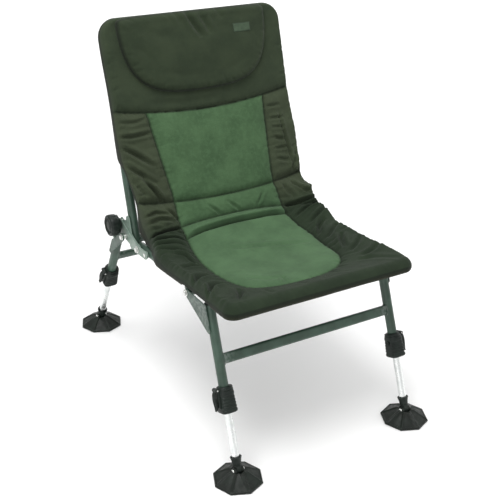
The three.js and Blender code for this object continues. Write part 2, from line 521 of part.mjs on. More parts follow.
// gussets welded on the outer sides of the legs
const down = (top, hub, at) => {
  const L = Math.hypot(top[0] - hub[0], top[1] - hub[1], top[2] - hub[2]);
  return [top[1] + ((hub[1] - top[1]) * at) / L, top[2] + ((hub[2] - top[2]) * at) / L];
};
for (const s of [-1, 1]) {
  const c0 = down(FT, FH, 4), c1 = down(FT, FH, 56);
  const front = join(
    plateX(capsule(A, c0, 9, 8), ...span(s, F_GUSSET_X)),
    plateX(poly([A, [c0[0] - 2, c0[1] + 2], c1]), ...span(s, F_GUSSET_X)),
    plateX(capsule(A, c1, 9, 6), ...span(s, F_GUSSET_X)),
    plateX(capsule(c0, c1, 8, 6), ...span(s, F_GUSSET_X)));
  put(`front_gusset_${side(s)}`, cut(front, rodX(A[0], A[1], 4.3, ...span(s, [200, 260]))), steel());

  const d0 = down(RT, RH, 63), d1 = down(RT, RH, 104);
  const rear = join(
    plateX(capsule(R, d0, 9.6, 5.5), ...span(s, R_GUSSET_X)),
    plateX(poly([R, d0, d1]), ...span(s, R_GUSSET_X)),
    plateX(capsule(R, d1, 9.6, 5.5), ...span(s, R_GUSSET_X)),
    plateX(capsule(d0, d1, 5.5, 5.5), ...span(s, R_GUSSET_X)));
  put(`rear_gusset_${side(s)}`, cut(rear,
    rodX(R[0], R[1], 4.3, ...span(s, [240, 270])),
    rodX(STOP[0], STOP[1], 4.8, ...span(s, [240, 270]), 8)), steel());

  // plastic caps on the front leg tops, where they bear against the rails
  const T = [s * FT[0], FT[1], FT[2]];
  const up = [s * (FT[0] - FH[0]), FT[1] - FH[1], FT[2] - FH[2]];
  const cap = turned([[0, -8], [TUBE_RI - GAP, -8], [TUBE_RI - GAP, -0.3], [TUBE_R, -0.3], [TUBE_R, 4.5], [TUBE_R - 2, 6.5], [0, 6.5]]);
  const railAxis = basis([s * RAIL_X, A[0], railZ(A[0])], [0, 1, RAIL_SLOPE], [1, 0, 0]);
  put(`front_leg_cap_${side(s)}`, cut(cap.applyMatrix4(basis(T, up, [s, 0, 0])),
    bar(TUBE_R + GAP, -160, 60).applyMatrix4(railAxis)), plastic());
}

export default chair;
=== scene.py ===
# Carp fishing chair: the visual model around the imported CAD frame.
# Helpers take millimetres in the row frame and write metres.
import json
import math

import bmesh
import bpy
from mathutils.bvhtree import BVHTree
import numpy as np
from mathutils import Matrix, Vector
from mathutils.geometry import tessellate_polygon

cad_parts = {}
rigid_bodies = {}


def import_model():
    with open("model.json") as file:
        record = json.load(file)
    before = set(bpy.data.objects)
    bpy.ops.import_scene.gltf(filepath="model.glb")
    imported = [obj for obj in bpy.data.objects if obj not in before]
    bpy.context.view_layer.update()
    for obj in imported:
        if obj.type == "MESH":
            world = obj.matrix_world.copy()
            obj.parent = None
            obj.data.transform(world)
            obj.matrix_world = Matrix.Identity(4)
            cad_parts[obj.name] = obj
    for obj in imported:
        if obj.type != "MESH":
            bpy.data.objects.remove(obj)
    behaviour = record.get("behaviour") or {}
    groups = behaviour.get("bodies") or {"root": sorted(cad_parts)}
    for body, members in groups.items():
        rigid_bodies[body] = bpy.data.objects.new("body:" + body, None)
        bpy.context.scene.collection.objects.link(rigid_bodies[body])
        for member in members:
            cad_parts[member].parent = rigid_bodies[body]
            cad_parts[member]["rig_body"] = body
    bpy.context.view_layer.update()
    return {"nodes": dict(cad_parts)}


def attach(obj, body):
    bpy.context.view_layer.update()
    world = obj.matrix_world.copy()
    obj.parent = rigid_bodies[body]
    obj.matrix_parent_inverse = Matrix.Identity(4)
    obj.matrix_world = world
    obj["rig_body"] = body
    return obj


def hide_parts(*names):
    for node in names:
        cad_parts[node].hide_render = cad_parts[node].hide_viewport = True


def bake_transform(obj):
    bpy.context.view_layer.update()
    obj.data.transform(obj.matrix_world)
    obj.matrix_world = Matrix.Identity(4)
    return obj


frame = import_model()
NODES = frame["nodes"]
MM = 0.001
SIDES = (("left", -1), ("right", 1))


# ------------------------------------------------------------------ dimensions
TUBE_R = 11.0
RAIL_X = 226.5
SLOPE = -0.0791


def rail_z(y):
    return 387.5 + SLOPE * (y + 258)


P1 = (82.0, rail_z(82))
LEAN = math.radians(16)
U2 = np.array([math.sin(LEAN), math.cos(LEAN)])       # up the back, in (y, z)
N2 = np.array([-math.cos(LEAN), math.sin(LEAN)])      # out of its front
BACK0 = np.array(P1) - 41.2 * N2
KS = math.hypot(1, SLOPE)
D1 = np.array([1, SLOPE]) / KS                        # along the seat to the rear
N1 = np.array([-SLOPE, 1]) / KS                       # up out of the seat
SEAT0 = np.array([0.0, rail_z(0)])
KB = (180.0, 391.0)
A = (-169.0, 363.0)
R = (146.0, 370.0)
STOP = (197.0, 352.0)
FT, FH = (226.5, -251.0, 370.0), (230.0, -385.0, 24.0)
RT, RH = (242.0, 178.0, 388.0), (232.0, 385.0, 24.0)
LEGS = {
    "front": dict(top=FT, hub=FH, clamp=(180, 238), end=214, start=0.6, cross=122.5, inner=243),
    "rear": dict(top=RT, hub=RH, clamp=(188, 246), end=222, start=56, cross=134, inner=241),
}
HUB_Z = 24.0
CUP = (12.6, 32.0)


def back_pt(n, u):
    """(y, z) at n behind the hinge and u up the back."""
    return (P1[0] - n * N2[0] + u * U2[0], P1[1] - n * N2[1] + u * U2[1])


# --------------------------------------------------------------- mesh helpers
def new_object(name, verts, faces, material=None, smooth=True):
    mesh = bpy.data.meshes.new(name)
    mesh.from_pydata([tuple(float(c) * MM for c in v) for v in verts], [], [tuple(int(i) for i in f) for f in faces])
    mesh.validate()
    if smooth:
        mesh.shade_smooth()
    if material:
        mesh.materials.append(material)
    obj = bpy.data.objects.new(name, mesh)
    bpy.context.scene.collection.objects.link(obj)
    return obj


class Parts:
    """Gathers closed shells into one mesh, each with a material number."""

    def __init__(self):
        self.v, self.f, self.m = [], [], []

    def add(self, verts, faces, frame_=None, mat=0):
        verts = np.asarray(verts, float).reshape(-1, 3)
        if frame_ is not None:
            verts = verts @ frame_[:3, :3].T + frame_[:3, 3]
            if np.linalg.det(frame_[:3, :3]) < 0:
                faces = [tuple(reversed(f)) for f in faces]
        o = len(self.v)
        self.v.extend(map(tuple, verts))
        self.f.extend(tuple(i + o for i in f) for f in faces)
        self.m.extend([mat] * len(faces))
        return self

    def make(self, name, materials, body, replaces=(), bevel=None, sharp=30):
        obj = new_object(name, self.v, self.f)
        for m in materials:
            obj.data.materials.append(m)
        obj.data.polygons.foreach_set("material_index", self.m)
        mark_sharp(obj, sharp)
        if bevel:
            add_bevel(obj, bevel)
        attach(obj, body)
        if replaces:
            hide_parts(*replaces)
        return obj


def mark_sharp(obj, degrees):
    bm = bmesh.new()
    bm.from_mesh(obj.data)
    bmesh.ops.recalc_face_normals(bm, faces=bm.faces)
    limit = math.radians(degrees)
    for e in bm.edges:
        if len(e.link_faces) == 2:
            e.smooth = e.calc_face_angle(0) < limit
    for f in bm.faces:
        f.smooth = True
    bm.to_mesh(obj.data)
    bm.free()


def add_bevel(obj, width, segments=2, angle=28):
    b = obj.modifiers.new("round_edges", "BEVEL")
    b.width = width * MM
    b.segments = segments
    b.limit_method = "ANGLE"
    b.angle_limit = math.radians(angle)
    b.use_clamp_overlap = True
    b.harden_normals = False
    w = obj.modifiers.new("weighted_normals", "WEIGHTED_NORMAL")
    w.keep_sharp = False
    return obj


def basis(origin, z_dir, x_near):
    z = np.array(z_dir, float)
    z /= np.linalg.norm(z)
    x = np.array(x_near, float)
    x -= x.dot(z) * z
    x /= np.linalg.norm(x)
    m = np.eye(4)
    m[:3, 0], m[:3, 1], m[:3, 2], m[:3, 3] = x, np.cross(z, x), z, origin
    return m


def leg_basis(kind, s):
    d = LEGS[kind]
    t = np.array([s * d["top"][0], d["top"][1], d["top"][2]])
    h = np.array([s * d["hub"][0], d["hub"][1], d["hub"][2]])
    return basis(t, t - h, (s, 0, 0)), float(np.linalg.norm(t - h))


def x_axis_frame(y, z, x=0.0, s=1):
    """Local z along the chair's x (outward for side s), local x along y."""
    return basis((x, y, z), (s, 0, 0), (0, 1, 0))


def ring_grid(rows, n, closed_rows=False, cap0=True, cap1=True):
    """Faces between rows of n points each (rows closed round), with caps."""
    faces = []
    total = rows if closed_rows else rows - 1
    for r in range(total):
        a, b = r * n, ((r + 1) % rows) * n
        for i in range(n):
            j = (i + 1) % n
            faces.append((a + i, a + j, b + j, b + i))
    if not closed_rows:
        if cap0:
            faces.append(tuple(reversed(range(n))))
        if cap1:
            faces.append(tuple(range((rows - 1) * n, rows * n)))
    return faces


def lathe(profile, n=40, modulate=None):
    """Turned solid about local z. The profile is (radius, z) points; a closed
    profile (last point equal to the first) gives a ring, otherwise its ends
    are closed on the axis."""
    closed = np.allclose(profile[0], profile[-1])
    pts = profile[:-1] if closed else profile
    a = np.linspace(0, 2 * math.pi, n, endpoint=False)
    verts = []
    for r, z in pts:
        rr = np.full(n, max(r, 0.02)) if modulate is None else modulate(r, z, a)
        verts.extend(zip(rr * np.cos(a), rr * np.sin(a), np.full(n, z)))
    return verts, ring_grid(len(pts), n, closed_rows=closed)


def soft_corner(points, radius, steps=4):
    """Rounds the inner corners of an open 2-D line."""
    pts = [np.array(p, float) for p in points]
    out = [pts[0]]
    for i in range(1, len(pts) - 1):
        a, b, c = pts[i - 1], pts[i], pts[i + 1]
        d1, d2 = a - b, c - b
        l1, l2 = np.linalg.norm(d1), np.linalg.norm(d2)
        r = min(radius, 0.45 * l1, 0.45 * l2)
        if r < 1e-6:
            out.append(b)
            continue
        p, q = b + d1 / l1 * r, b + d2 / l2 * r
        for k in range(steps + 1):
            t = k / steps
            out.append((1 - t) ** 2 * p + 2 * t * (1 - t) * b + t * t * q)
    out.append(pts[-1])
    return out


def path_frames(points, up=(0, 0, 1)):
    """Tangent, normal and binormal along a line, carried without twist."""
    p = np.array(points, float)
    t = np.gradient(p, axis=0)
    t /= np.linalg.norm(t, axis=1)[:, None]
    n = np.array(up, float) - np.dot(up, t[0]) * t[0]
    if np.linalg.norm(n) < 1e-3:
        n = np.array([1.0, 0, 0]) - t[0][0] * t[0]
    n /= np.linalg.norm(n)
    ns = [n]
    for i in range(1, len(p)):
        n = ns[-1] - ns[-1].dot(t[i]) * t[i]
        ns.append(n / np.linalg.norm(n))
    ns = np.array(ns)
    return p, t, ns, np.cross(t, ns)


def sweep(points, section, up=(0, 0, 1), scale=None, closed=False):
    """A closed section (list of (a, b)) carried along a line."""
    p, t, n, b = path_frames(points, up)
    sec = np.array(section, float)
    verts = []
    for i in range(len(p)):
        k = (1, 1) if scale is None else scale(i / (len(p) - 1))
        if np.isscalar(k):
            k = (k, k)
        verts.extend(p[i] + sec[:, :1] * k[0] * n[i] + sec[:, 1:] * k[1] * b[i])
    return verts, ring_grid(len(p), len(sec), closed_rows=closed)


def circle(r, n=32):
    a = np.linspace(0, 2 * math.pi, n, endpoint=False)
    return list(zip(r * np.cos(a), r * np.sin(a)))


def superellipse(hx, hy, e=4, n=48):
    a = np.linspace(0, 2 * math.pi, n, endpoint=False)
    c, s = np.cos(a), np.sin(a)
    return np.stack([hx * np.sign(c) * np.abs(c) ** (2 / e), hy * np.sign(s) * np.abs(s) ** (2 / e)], 1)


def rounded_rect(w, h, r, steps=6):
    out = []
    for cx, cy, a0 in ((w / 2 - r, h / 2 - r, 0), (-w / 2 + r, h / 2 - r, 90), (-w / 2 + r, -h / 2 + r, 180), (w / 2 - r, -h / 2 + r, 270)):
        for k in range(steps + 1):
            a = math.radians(a0 + 90 * k / steps)
            out.append((cx + r * math.cos(a), cy + r * math.sin(a)))
    return out


def hollow_tube(points, ro, ri, n=32, up=(1, 0, 0), depth=14, end_round=0.5):
    """A tube along a line, with its bore showing for a short way at both ends."""
    p, t, nn, b = path_frames(points, up)
    a = np.linspace(0, 2 * math.pi, n, endpoint=False)
    ca, sa = np.cos(a)[:, None], np.sin(a)[:, None]

    def ring(c, nv, bv, r):
        return c + r * (ca * nv + sa * bv)

    rows = []
    rows.append(ring(p[0] + t[0] * depth, nn[0], b[0], 0.05))
    rows.append(ring(p[0] + t[0] * depth, nn[0], b[0], ri))
    rows.append(ring(p[0] + t[0] * 0.4, nn[0], b[0], ri))
    rows.append(ring(p[0], nn[0], b[0], ri + 0.4))
    rows.append(ring(p[0], nn[0], b[0], ro - end_round))
    rows.append(ring(p[0] + t[0] * end_round, nn[0], b[0], ro))
    for i in range(len(p)):
        shift = t[i] * (2 * end_round if i == 0 else -2 * end_round if i == len(p) - 1 else 0)
        rows.append(ring(p[i] + shift, nn[i], b[i], ro))
    e = len(p) - 1
    rows.append(ring(p[e] - t[e] * end_round, nn[e], b[e], ro))
    rows.append(ring(p[e], nn[e], b[e], ro - end_round))
    rows.append(ring(p[e], nn[e], b[e], ri + 0.4))
    rows.append(ring(p[e] - t[e] * 0.4, nn[e], b[e], ri))
    rows.append(ring(p[e] - t[e] * depth, nn[e], b[e], ri))
    rows.append(ring(p[e] - t[e] * depth, nn[e], b[e], 0.05))
    return np.concatenate(rows), ring_grid(len(rows), n)


def bent_line(points, radius, step=3.5):
    """Points on straights and round bends."""
    pts = [np.array(p, float) for p in points]
    out = [pts[0]]
    for i in range(1, len(pts) - 1):
        din = pts[i] - pts[i - 1]
        dout = pts[i + 1] - pts[i]
        din /= np.linalg.norm(din)
        dout /= np.linalg.norm(dout)
        turn = math.acos(max(-1, min(1, din.dot(dout))))
        back = radius * math.tan(turn / 2)
        start = pts[i] - din * back
        axis = np.cross(din, dout)
        axis /= np.linalg.norm(axis)
        inward = np.cross(axis, din)
        centre = start + inward * radius
        n = max(8, int(radius * turn / step))
        prev = out[-1]
        m = max(2, int(np.linalg.norm(start - prev) / 40))
        for k in range(1, m):
            out.append(prev + (start - prev) * k / m)
        for k in range(n + 1):
            a = turn * k / n
            out.append(centre - inward * radius * math.cos(a) + din * radius * math.sin(a))
    prev, end = out[-1], pts[-1]
    m = max(2, int(np.linalg.norm(end - prev) / 40))
    for k in range(1, m + 1):
        out.append(prev + (end - prev) * k / m)
    return out


def straight(p, q, step=30):
    p, q = np.array(p, float), np.array(q, float)
    n = max(3, int(np.linalg.norm(q - p) / step) + 1)
    return [p + (q - p) * k / (n - 1) for k in range(n)]


# ------------------------------------------------ outlines from distance fields
def sd_capsule(Y, Z, p, q, rp, rq=None):
    """Signed distance to a tapered capsule."""
    rq = rp if rq is None else rq
    p, q = np.array(p, float), np.array(q, float)
    d = q - p
    L = float(np.hypot(*d))
    ux, uz = d / L
    a = (Y - p[0]) * ux + (Z - p[1]) * uz
    c = np.abs(-(Y - p[0]) * uz + (Z - p[1]) * ux)
    k = (rp - rq) / L
    t = a + c * k / math.sqrt(max(1 - k * k, 1e-9))
    t = np.clip(t, 0, L)
    return np.hypot(a - t, c) - (rp + (rq - rp) * t / L)


def sd_poly(Y, Z, pts):
    """Signed distance to a simple polygon."""
    pts = [np.array(p, float) for p in pts]
    best = np.full(Y.shape, 1e9)
    inside = np.zeros(Y.shape, bool)
    for i in range(len(pts)):
        a, b = pts[i], pts[(i + 1) % len(pts)]
        d = b - a
        t = np.clip(((Y - a[0]) * d[0] + (Z - a[1]) * d[1]) / (d @ d), 0, 1)
        best = np.minimum(best, np.hypot(Y - a[0] - t * d[0], Z - a[1] - t * d[1]))
        cond = (a[1] > Z) != (b[1] > Z)
        with np.errstate(divide="ignore", invalid="ignore"):
            xi = a[0] + (Z - a[1]) / (b[1] - a[1] if b[1] != a[1] else 1e-9) * (b[0] - a[0])
        inside ^= cond & (Y < xi)
    return np.where(inside, -best, best)


def sd_arc(Y, Z, c, r, half, a0, a1):
    ang = np.arctan2(Z - c[1], Y - c[0])
    mid = (a0 + a1) / 2
    d = (ang - mid + math.pi) % (2 * math.pi) - math.pi
    h = (a1 - a0) / 2
    rad = np.abs(np.hypot(Y - c[0], Z - c[1]) - r) - half
    e0 = np.hypot(Y - c[0] - r * math.cos(a0), Z - c[1] - r * math.sin(a0)) - half
    e1 = np.hypot(Y - c[0] - r * math.cos(a1), Z - c[1] - r * math.sin(a1)) - half
    return np.where(np.abs(d) <= h, rad, np.minimum(e0, e1))


def smin(a, b, k=3.0):
    h = np.clip(0.5 + 0.5 * (b - a) / k, 0, 1)
    return b * (1 - h) + a * h - k * h * (1 - h)


def outline(field, box_, cell=0.8):
    """Closed contour lines of field(Y, Z) = 0, longest first, evenly spaced."""
    y = np.arange(box_[0], box_[2], cell)
    z = np.arange(box_[1], box_[3], cell)
    Y, Z = np.meshgrid(y, z, indexing="ij")
    F = field(Y, Z)
    segs = {}

    def cut_(i0, j0, i1, j1):
        f0, f1 = F[i0, j0], F[i1, j1]
        t = f0 / (f0 - f1)
        return (min((i0, j0), (i1, j1)), max((i0, j0), (i1, j1))), (
            Y[i0, j0] + t * (Y[i1, j1] - Y[i0, j0]), Z[i0, j0] + t * (Z[i1, j1] - Z[i0, j0]))

    S = F < 0
    busy = np.argwhere((S[:-1, :-1] != S[1:, :-1]) | (S[:-1, :-1] != S[:-1, 1:]) | (S[:-1, :-1] != S[1:, 1:]))
    place = {}
    for i, j in busy:
        for tri in (((i, j), (i + 1, j), (i + 1, j + 1)), ((i, j), (i + 1, j + 1), (i, j + 1))):
            hit = []
            for k in range(3):
                a, b = tri[k], tri[(k + 1) % 3]
                if S[a] != S[b]:
                    key, pt = cut_(*a, *b)
                    place[key] = pt
                    hit.append(key)
            if len(hit) == 2:
                segs.setdefault(hit[0], []).append(hit[1])
                segs.setdefault(hit[1], []).append(hit[0])
    loops, seen = [], set()
    for start in segs:
        if start in seen:
            continue
        loop, cur, prev = [], start, None
        while cur not in seen:
            seen.add(cur)
            loop.append(place[cur])
            nxt = [k for k in segs[cur] if k != prev and k not in seen]
            prev = cur
            if not nxt:
                break
            cur = nxt[0]
        if len(loop) > 8:
            loops.append(np.array(loop))
    out = []
    for lp in loops:
        d = np.hypot(*(np.roll(lp, -1, 0) - lp).T)
        s = np.concatenate([[0], np.cumsum(d)])
        total = s[-1]
        n = max(16, int(total / 1.6))
        closed = np.vstack([lp, lp[:1]])
        q = np.linspace(0, total, n, endpoint=False)
        r = np.stack([np.interp(q, s, closed[:, 0]), np.interp(q, s, closed[:, 1])], 1)
        r = 0.5 * r + 0.25 * np.roll(r, 1, 0) + 0.25 * np.roll(r, -1, 0)
        area = 0.5 * np.sum(r[:, 0] * np.roll(r[:, 1], -1) - np.roll(r[:, 0], -1) * r[:, 1])
        out.append((abs(area), r if area > 0 else r[::-1]))
    out.sort(key=lambda t: -t[0])
    return [r for _, r in out if len(r) >= 12]


def plate(loops, x0, x1, bevel=0.45):
    """A sheet-metal plate between x0 and x1 from an outline and its holes,
    with softened edges. Loops are (y, z), all counter-clockwise."""
    rows_, faces, verts = [], [], []
    levels = ((x0, bevel), (x0 + bevel, 0.0), (x1 - bevel, 0.0), (x1, bevel))
    flat = {0: [], 3: []}
    for li, lp in enumerate(loops):
        tang = np.roll(lp, -1, 0) - np.roll(lp, 1, 0)
        tang /= np.linalg.norm(tang, axis=1)[:, None]
        inward = np.stack([-tang[:, 1], tang[:, 0]], 1) * (1 if li == 0 else -1)
        n = len(lp)
        o = len(verts)
        for k, (x, inset) in enumerate(levels):
            q = lp + inward * inset
            verts.extend((x, a, b) for a, b in q)
            if k in flat:
                flat[k].append((o + k * n, q))
        for k in range(3):
            for i in range(n):
                j = (i + 1) % n
                f = (o + k * n + i, o + k * n + j, o + (k + 1) * n + j, o + (k + 1) * n + i)
                faces.append(f if li == 0 else tuple(reversed(f)))
    for k, sets in flat.items():
        polys, index = [], []
        for o, q in sets:
            polys.append([Vector((a, b, 0)) for a, b in q])
            index.extend(range(o, o + len(q)))
        for tri in tessellate_polygon(polys):
            f = tuple(index[i] for i in tri)
            faces.append(f if k == 3 else tuple(reversed(f)))
    return verts, faces


# -------------------------------------------------------------------- materials
class Nodes:
    """A short way to write a node tree."""

    def __init__(self, name):
        self.mat = bpy.data.materials.new(name)
        self.mat.use_nodes = True
        self.t = self.mat.node_tree
        self.t.nodes.clear()
        self.out = self.t.nodes.new("ShaderNodeOutputMaterial")
        self.bsdf = self.t.nodes.new("ShaderNodeBsdfPrincipled")
        self.link(self.bsdf.outputs["BSDF"], self.out.inputs["Surface"])

    def link(self, a, b):
        self.t.links.new(a, b)

    def put(self, socket, value):
        if isinstance(value, bpy.types.NodeSocket):
            self.link(value, socket)
        elif value is not None:
            socket.default_value = value

    def set(self, **values):
        for k, v in values.items():
            self.put(self.bsdf.inputs[k.replace("_", " ")], v)

    def coords(self, attribute=None, scale=1000.0):
        """Position in millimetres, from the mesh or from a stored layout."""
        if attribute:
            n = self.t.nodes.new("ShaderNodeAttribute")
            n.attribute_name = attribute
            return n.outputs["Vector"]
        n = self.t.nodes.new("ShaderNodeTexCoord")
        m = self.t.nodes.new("ShaderNodeVectorMath")
        m.operation = "SCALE"
        self.link(n.outputs["Object"], m.inputs[0])
        m.inputs["Scale"].default_value = scale
        return m.outputs[0]

    def attr(self, name):
        n = self.t.nodes.new("ShaderNodeAttribute")
        n.attribute_name = name
        return n.outputs["Fac"]

    def noise(self, vector, size, detail=2.0, rough=0.5, distortion=0.0):
        """Noise whose features are about `size` mm across, about 0 to 1."""
        n = self.t.nodes.new("ShaderNodeTexNoise")
        self.link(vector, n.inputs["Vector"])
        n.inputs["Scale"].default_value = 1.0 / size
        n.inputs["Detail"].default_value = detail
        n.inputs["Roughness"].default_value = rough
        n.inputs["Distortion"].default_value = distortion
        return n.outputs["Fac"]

    def voronoi(self, vector, size, feature="F1"):
        n = self.t.nodes.new("ShaderNodeTexVoronoi")
        n.feature = feature
        self.link(vector, n.inputs["Vector"])
        n.inputs["Scale"].default_value = 1.0 / size
        return n.outputs["Distance"]

    def stretch(self, vector, s):
        m = self.t.nodes.new("ShaderNodeVectorMath")
        m.operation = "MULTIPLY"
        self.link(vector, m.inputs[0])
        m.inputs[1].default_value = s
        return m.outputs[0]

    def axis(self, vector, k):
        n = self.t.nodes.new("ShaderNodeSeparateXYZ")
        self.link(vector, n.inputs[0])
        return n.outputs[k]

    def math(self, op, a, b=None, clamp=False):
        n = self.t.nodes.new("ShaderNodeMath")
        n.operation = op
        n.use_clamp = clamp
        self.put(n.inputs[0], a)
        if b is not None:
            self.put(n.inputs[1], b)
        return n.outputs[0]

    def ramp(self, value, lo, hi, a=0.0, b=1.0, smooth=True):
        n = self.t.nodes.new("ShaderNodeMapRange")
        n.interpolation_type = "SMOOTHSTEP" if smooth else "LINEAR"
        self.put(n.inputs["Value"], value)
        n.inputs["From Min"].default_value = lo
        n.inputs["From Max"].default_value = hi
        n.inputs["To Min"].default_value = a
        n.inputs["To Max"].default_value = b
        return n.outputs["Result"]

    def mix(self, fac, a, b, blend="MIX"):
        n = self.t.nodes.new("ShaderNodeMix")
        n.data_type = "RGBA"
        n.blend_type = blend
        self.put(n.inputs[0], fac)
        for socket, v in ((n.inputs[6], a), (n.inputs[7], b)):
            if isinstance(v, bpy.types.NodeSocket):
                self.link(v, socket)
            else:
                socket.default_value = (*v, 1.0) if len(v) == 3 else v
        return n.outputs[2]

    def bump(self, height, strength, distance_mm=1.0, normal=None):
        n = self.t.nodes.new("ShaderNodeBump")
        n.inputs["Strength"].default_value = strength
        n.inputs["Distance"].default_value = distance_mm * MM
        self.link(height, n.inputs["Height"])
        if normal is not None:
            self.link(normal, n.inputs["Normal"])
        return n.outputs["Normal"]


def rgb(r, g, b):
    """0-255 display values to linear."""
    def f(c):
        c /= 255.0
        return c / 12.92 if c <= 0.04045 else ((c + 0.055) / 1.055) ** 2.4
    return (f(r), f(g), f(b))


def paint_material(name, base, dark, light, rough=0.42):
    """Powder coat: fine orange peel, faint cloudiness, dust and small rubs."""
    n = Nodes(name)
    p = n.coords()
    cloud = n.noise(p, 38, 3, 0.55)
    col = n.mix(n.ramp(cloud, 0.35, 0.68), base, light)
    speck = n.noise(p, 1.6, 2, 0.6)
    col = n.mix(n.ramp(speck, 0.60, 0.74, 0, 0.35), col, dark)
    geo = n.t.nodes.new("ShaderNodeNewGeometry")
    edge = n.ramp(geo.outputs["Pointiness"], 0.53, 0.60)
    rub = n.math("MULTIPLY", edge, n.ramp(n.noise(p, 7, 3), 0.40, 0.62))
    col = n.mix(n.math("MULTIPLY", rub, 0.6), col, (0.30, 0.33, 0.31))
    peel = n.noise(p, 0.9, 1, 0.5)
    n.set(Base_Color=col, Roughness=n.ramp(n.noise(p, 12, 3), 0.3, 0.75, rough - 0.06, rough + 0.10), Metallic=0.0,
          Normal=n.bump(peel, 0.18, 0.12))
    n.bsdf.inputs["Specular IOR Level"].default_value = 0.42
    n.bsdf.inputs["Coat Weight"].default_value = 0.10
    n.bsdf.inputs["Coat Roughness"].default_value = 0.25
    return n.mat


def metal_material(name, base, dark, rough=0.28, brushed=(1, 1, 0.02), size=0.5, strength=0.1):
    """Bare metal: fine drawn or turned marks, smudges and small pits."""
    n = Nodes(name)
    p = n.coords()
    marks = n.noise(n.stretch(p, brushed), size, 2, 0.6)
    cloud = n.noise(p, 16, 3, 0.6)
    col = n.mix(n.ramp(cloud, 0.35, 0.72), base, dark)
    pits = n.ramp(n.voronoi(p, 2.6), 0.05, 0.14, 1, 0)
    col = n.mix(n.math("MULTIPLY", pits, 0.35), col, (0.25, 0.25, 0.24))
    r = n.math("ADD", n.ramp(cloud, 0.3, 0.75, rough - 0.05, rough + 0.12), n.math("MULTIPLY", marks, 0.10))
    n.set(Base_Color=col, Roughness=r, Metallic=1.0, Normal=n.bump(marks, strength, 0.08))
    return n.mat


def plastic_material(name, base, light, rough=0.45, grain=0.7):
    """Moulded plastic with a fine spark grain and scuffed edges."""
    n = Nodes(name)
    p = n.coords()
    cloud = n.noise(p, 22, 3, 0.6)
    col = n.mix(n.ramp(cloud, 0.35, 0.70), base, light)
    geo = n.t.nodes.new("ShaderNodeNewGeometry")
    edge = n.ramp(geo.outputs["Pointiness"], 0.52, 0.62)
    scuff = n.math("MULTIPLY", edge, n.ramp(n.noise(p, 5, 3), 0.35, 0.65))
    col = n.mix(n.math("MULTIPLY", scuff, 0.5), col, (0.050, 0.058, 0.052))
    g = n.noise(p, grain, 2, 0.6)
    n.set(Base_Color=col, Roughness=n.ramp(n.noise(p, 9, 3), 0.3, 0.75, rough - 0.07, rough + 0.13),
          Normal=n.bump(g, 0.30, 0.15))
    n.bsdf.inputs["Specular IOR Level"].default_value = 0.27
    return n.mat


GREEN_STEEL = paint_material("green_steel_paint", rgb(44, 64, 52), rgb(30, 45, 37), rgb(56, 79, 66))
DARK_STEEL = paint_material("dark_green_steel_paint", rgb(52, 72, 62), rgb(30, 42, 36), rgb(64, 85, 74))
PALE_STEEL = paint_material("pale_green_steel_paint", rgb(104, 124, 112), rgb(62, 78, 70), rgb(122, 140, 128), 0.38)
ALUMINIUM = metal_material("bright_aluminium", (0.86, 0.88, 0.87), (0.72, 0.75, 0.74), 0.24, (1, 1, 0.02), 0.45, 0.06)
ZINC = metal_material("zinc_plate", (0.80, 0.81, 0.79), (0.62, 0.63, 0.60), 0.27, (1, 1, 1), 1.2, 0.12)
BLACK = plastic_material("black_plastic", rgb(17, 25, 21), rgb(27, 36, 31))
BLACK_FOOT = plastic_material("black_foot_plastic", rgb(14, 20, 15), rgb(24, 32, 26), 0.46, 1.1)
DARK_BORE = plastic_material("tube_bore_shadow", rgb(24, 28, 26), rgb(34, 40, 37), 0.6)


# ------------------------------------------------------------- light and camera
def make_floor():
    n = Nodes("studio_floor")
    p = n.coords()
    n.set(Base_Color=n.mix(n.ramp(n.noise(p, 900, 2), 0.3, 0.7), (0.93, 0.93, 0.93), (0.945, 0.945, 0.94)), Roughness=0.75)
    bm = bmesh.new()
    bmesh.ops.create_grid(bm, x_segments=8, y_segments=8, size=14)
    mesh = bpy.data.meshes.new("studio_floor")
    bm.to_mesh(mesh)
    bm.free()
    mesh.materials.append(n.mat)
    obj = bpy.data.objects.new("studio_floor", mesh)
    obj.location = (0, 0, -0.0004)
    bpy.context.scene.collection.objects.link(obj)


def area_light(name, place, target, size, power, colour=(1, 1, 1)):
    data = bpy.data.lights.new(name, "AREA")
    data.shape = "DISK"
    data.size = size
    data.energy = power
    data.color = colour
    obj = bpy.data.objects.new(name, data)
    obj.location = place
    obj.rotation_mode = "QUATERNION"
    obj.rotation_quaternion = (Vector(target) - Vector(place)).to_track_quat("-Z", "Y")
    bpy.context.scene.collection.objects.link(obj)
    return obj


def make_light():
    world = bpy.data.worlds.new("studio")
    bpy.context.scene.world = world
    world.use_nodes = True
    t = world.node_tree
    t.nodes.clear()
    out = t.nodes.new("ShaderNodeOutputWorld")
    bg = t.nodes.new("ShaderNodeBackground")
    bg.inputs["Color"].default_value = (1.0, 1.0, 1.0, 1)
    bg.inputs["Strength"].default_value = 0.74
    t.links.new(bg.outputs[0], out.inputs["Surface"])
    area_light("key_softbox", (-0.70, -0.35, 3.1), (0.05, 0.0, 0.35), 1.9, 62)
    area_light("front_softbox", (-2.6, -3.0, 1.7), (0.0, 0.0, 0.4), 2.2, 26)
    area_light("right_softbox", (3.0, -1.2, 1.6), (0.0, 0.0, 0.4), 2.0, 12)
    # whitens the floor far behind the chair
    area_light("floor_wash", (2.9, 5.4, 3.2), (2.6, 4.8, 0.0), 5.0, 130)


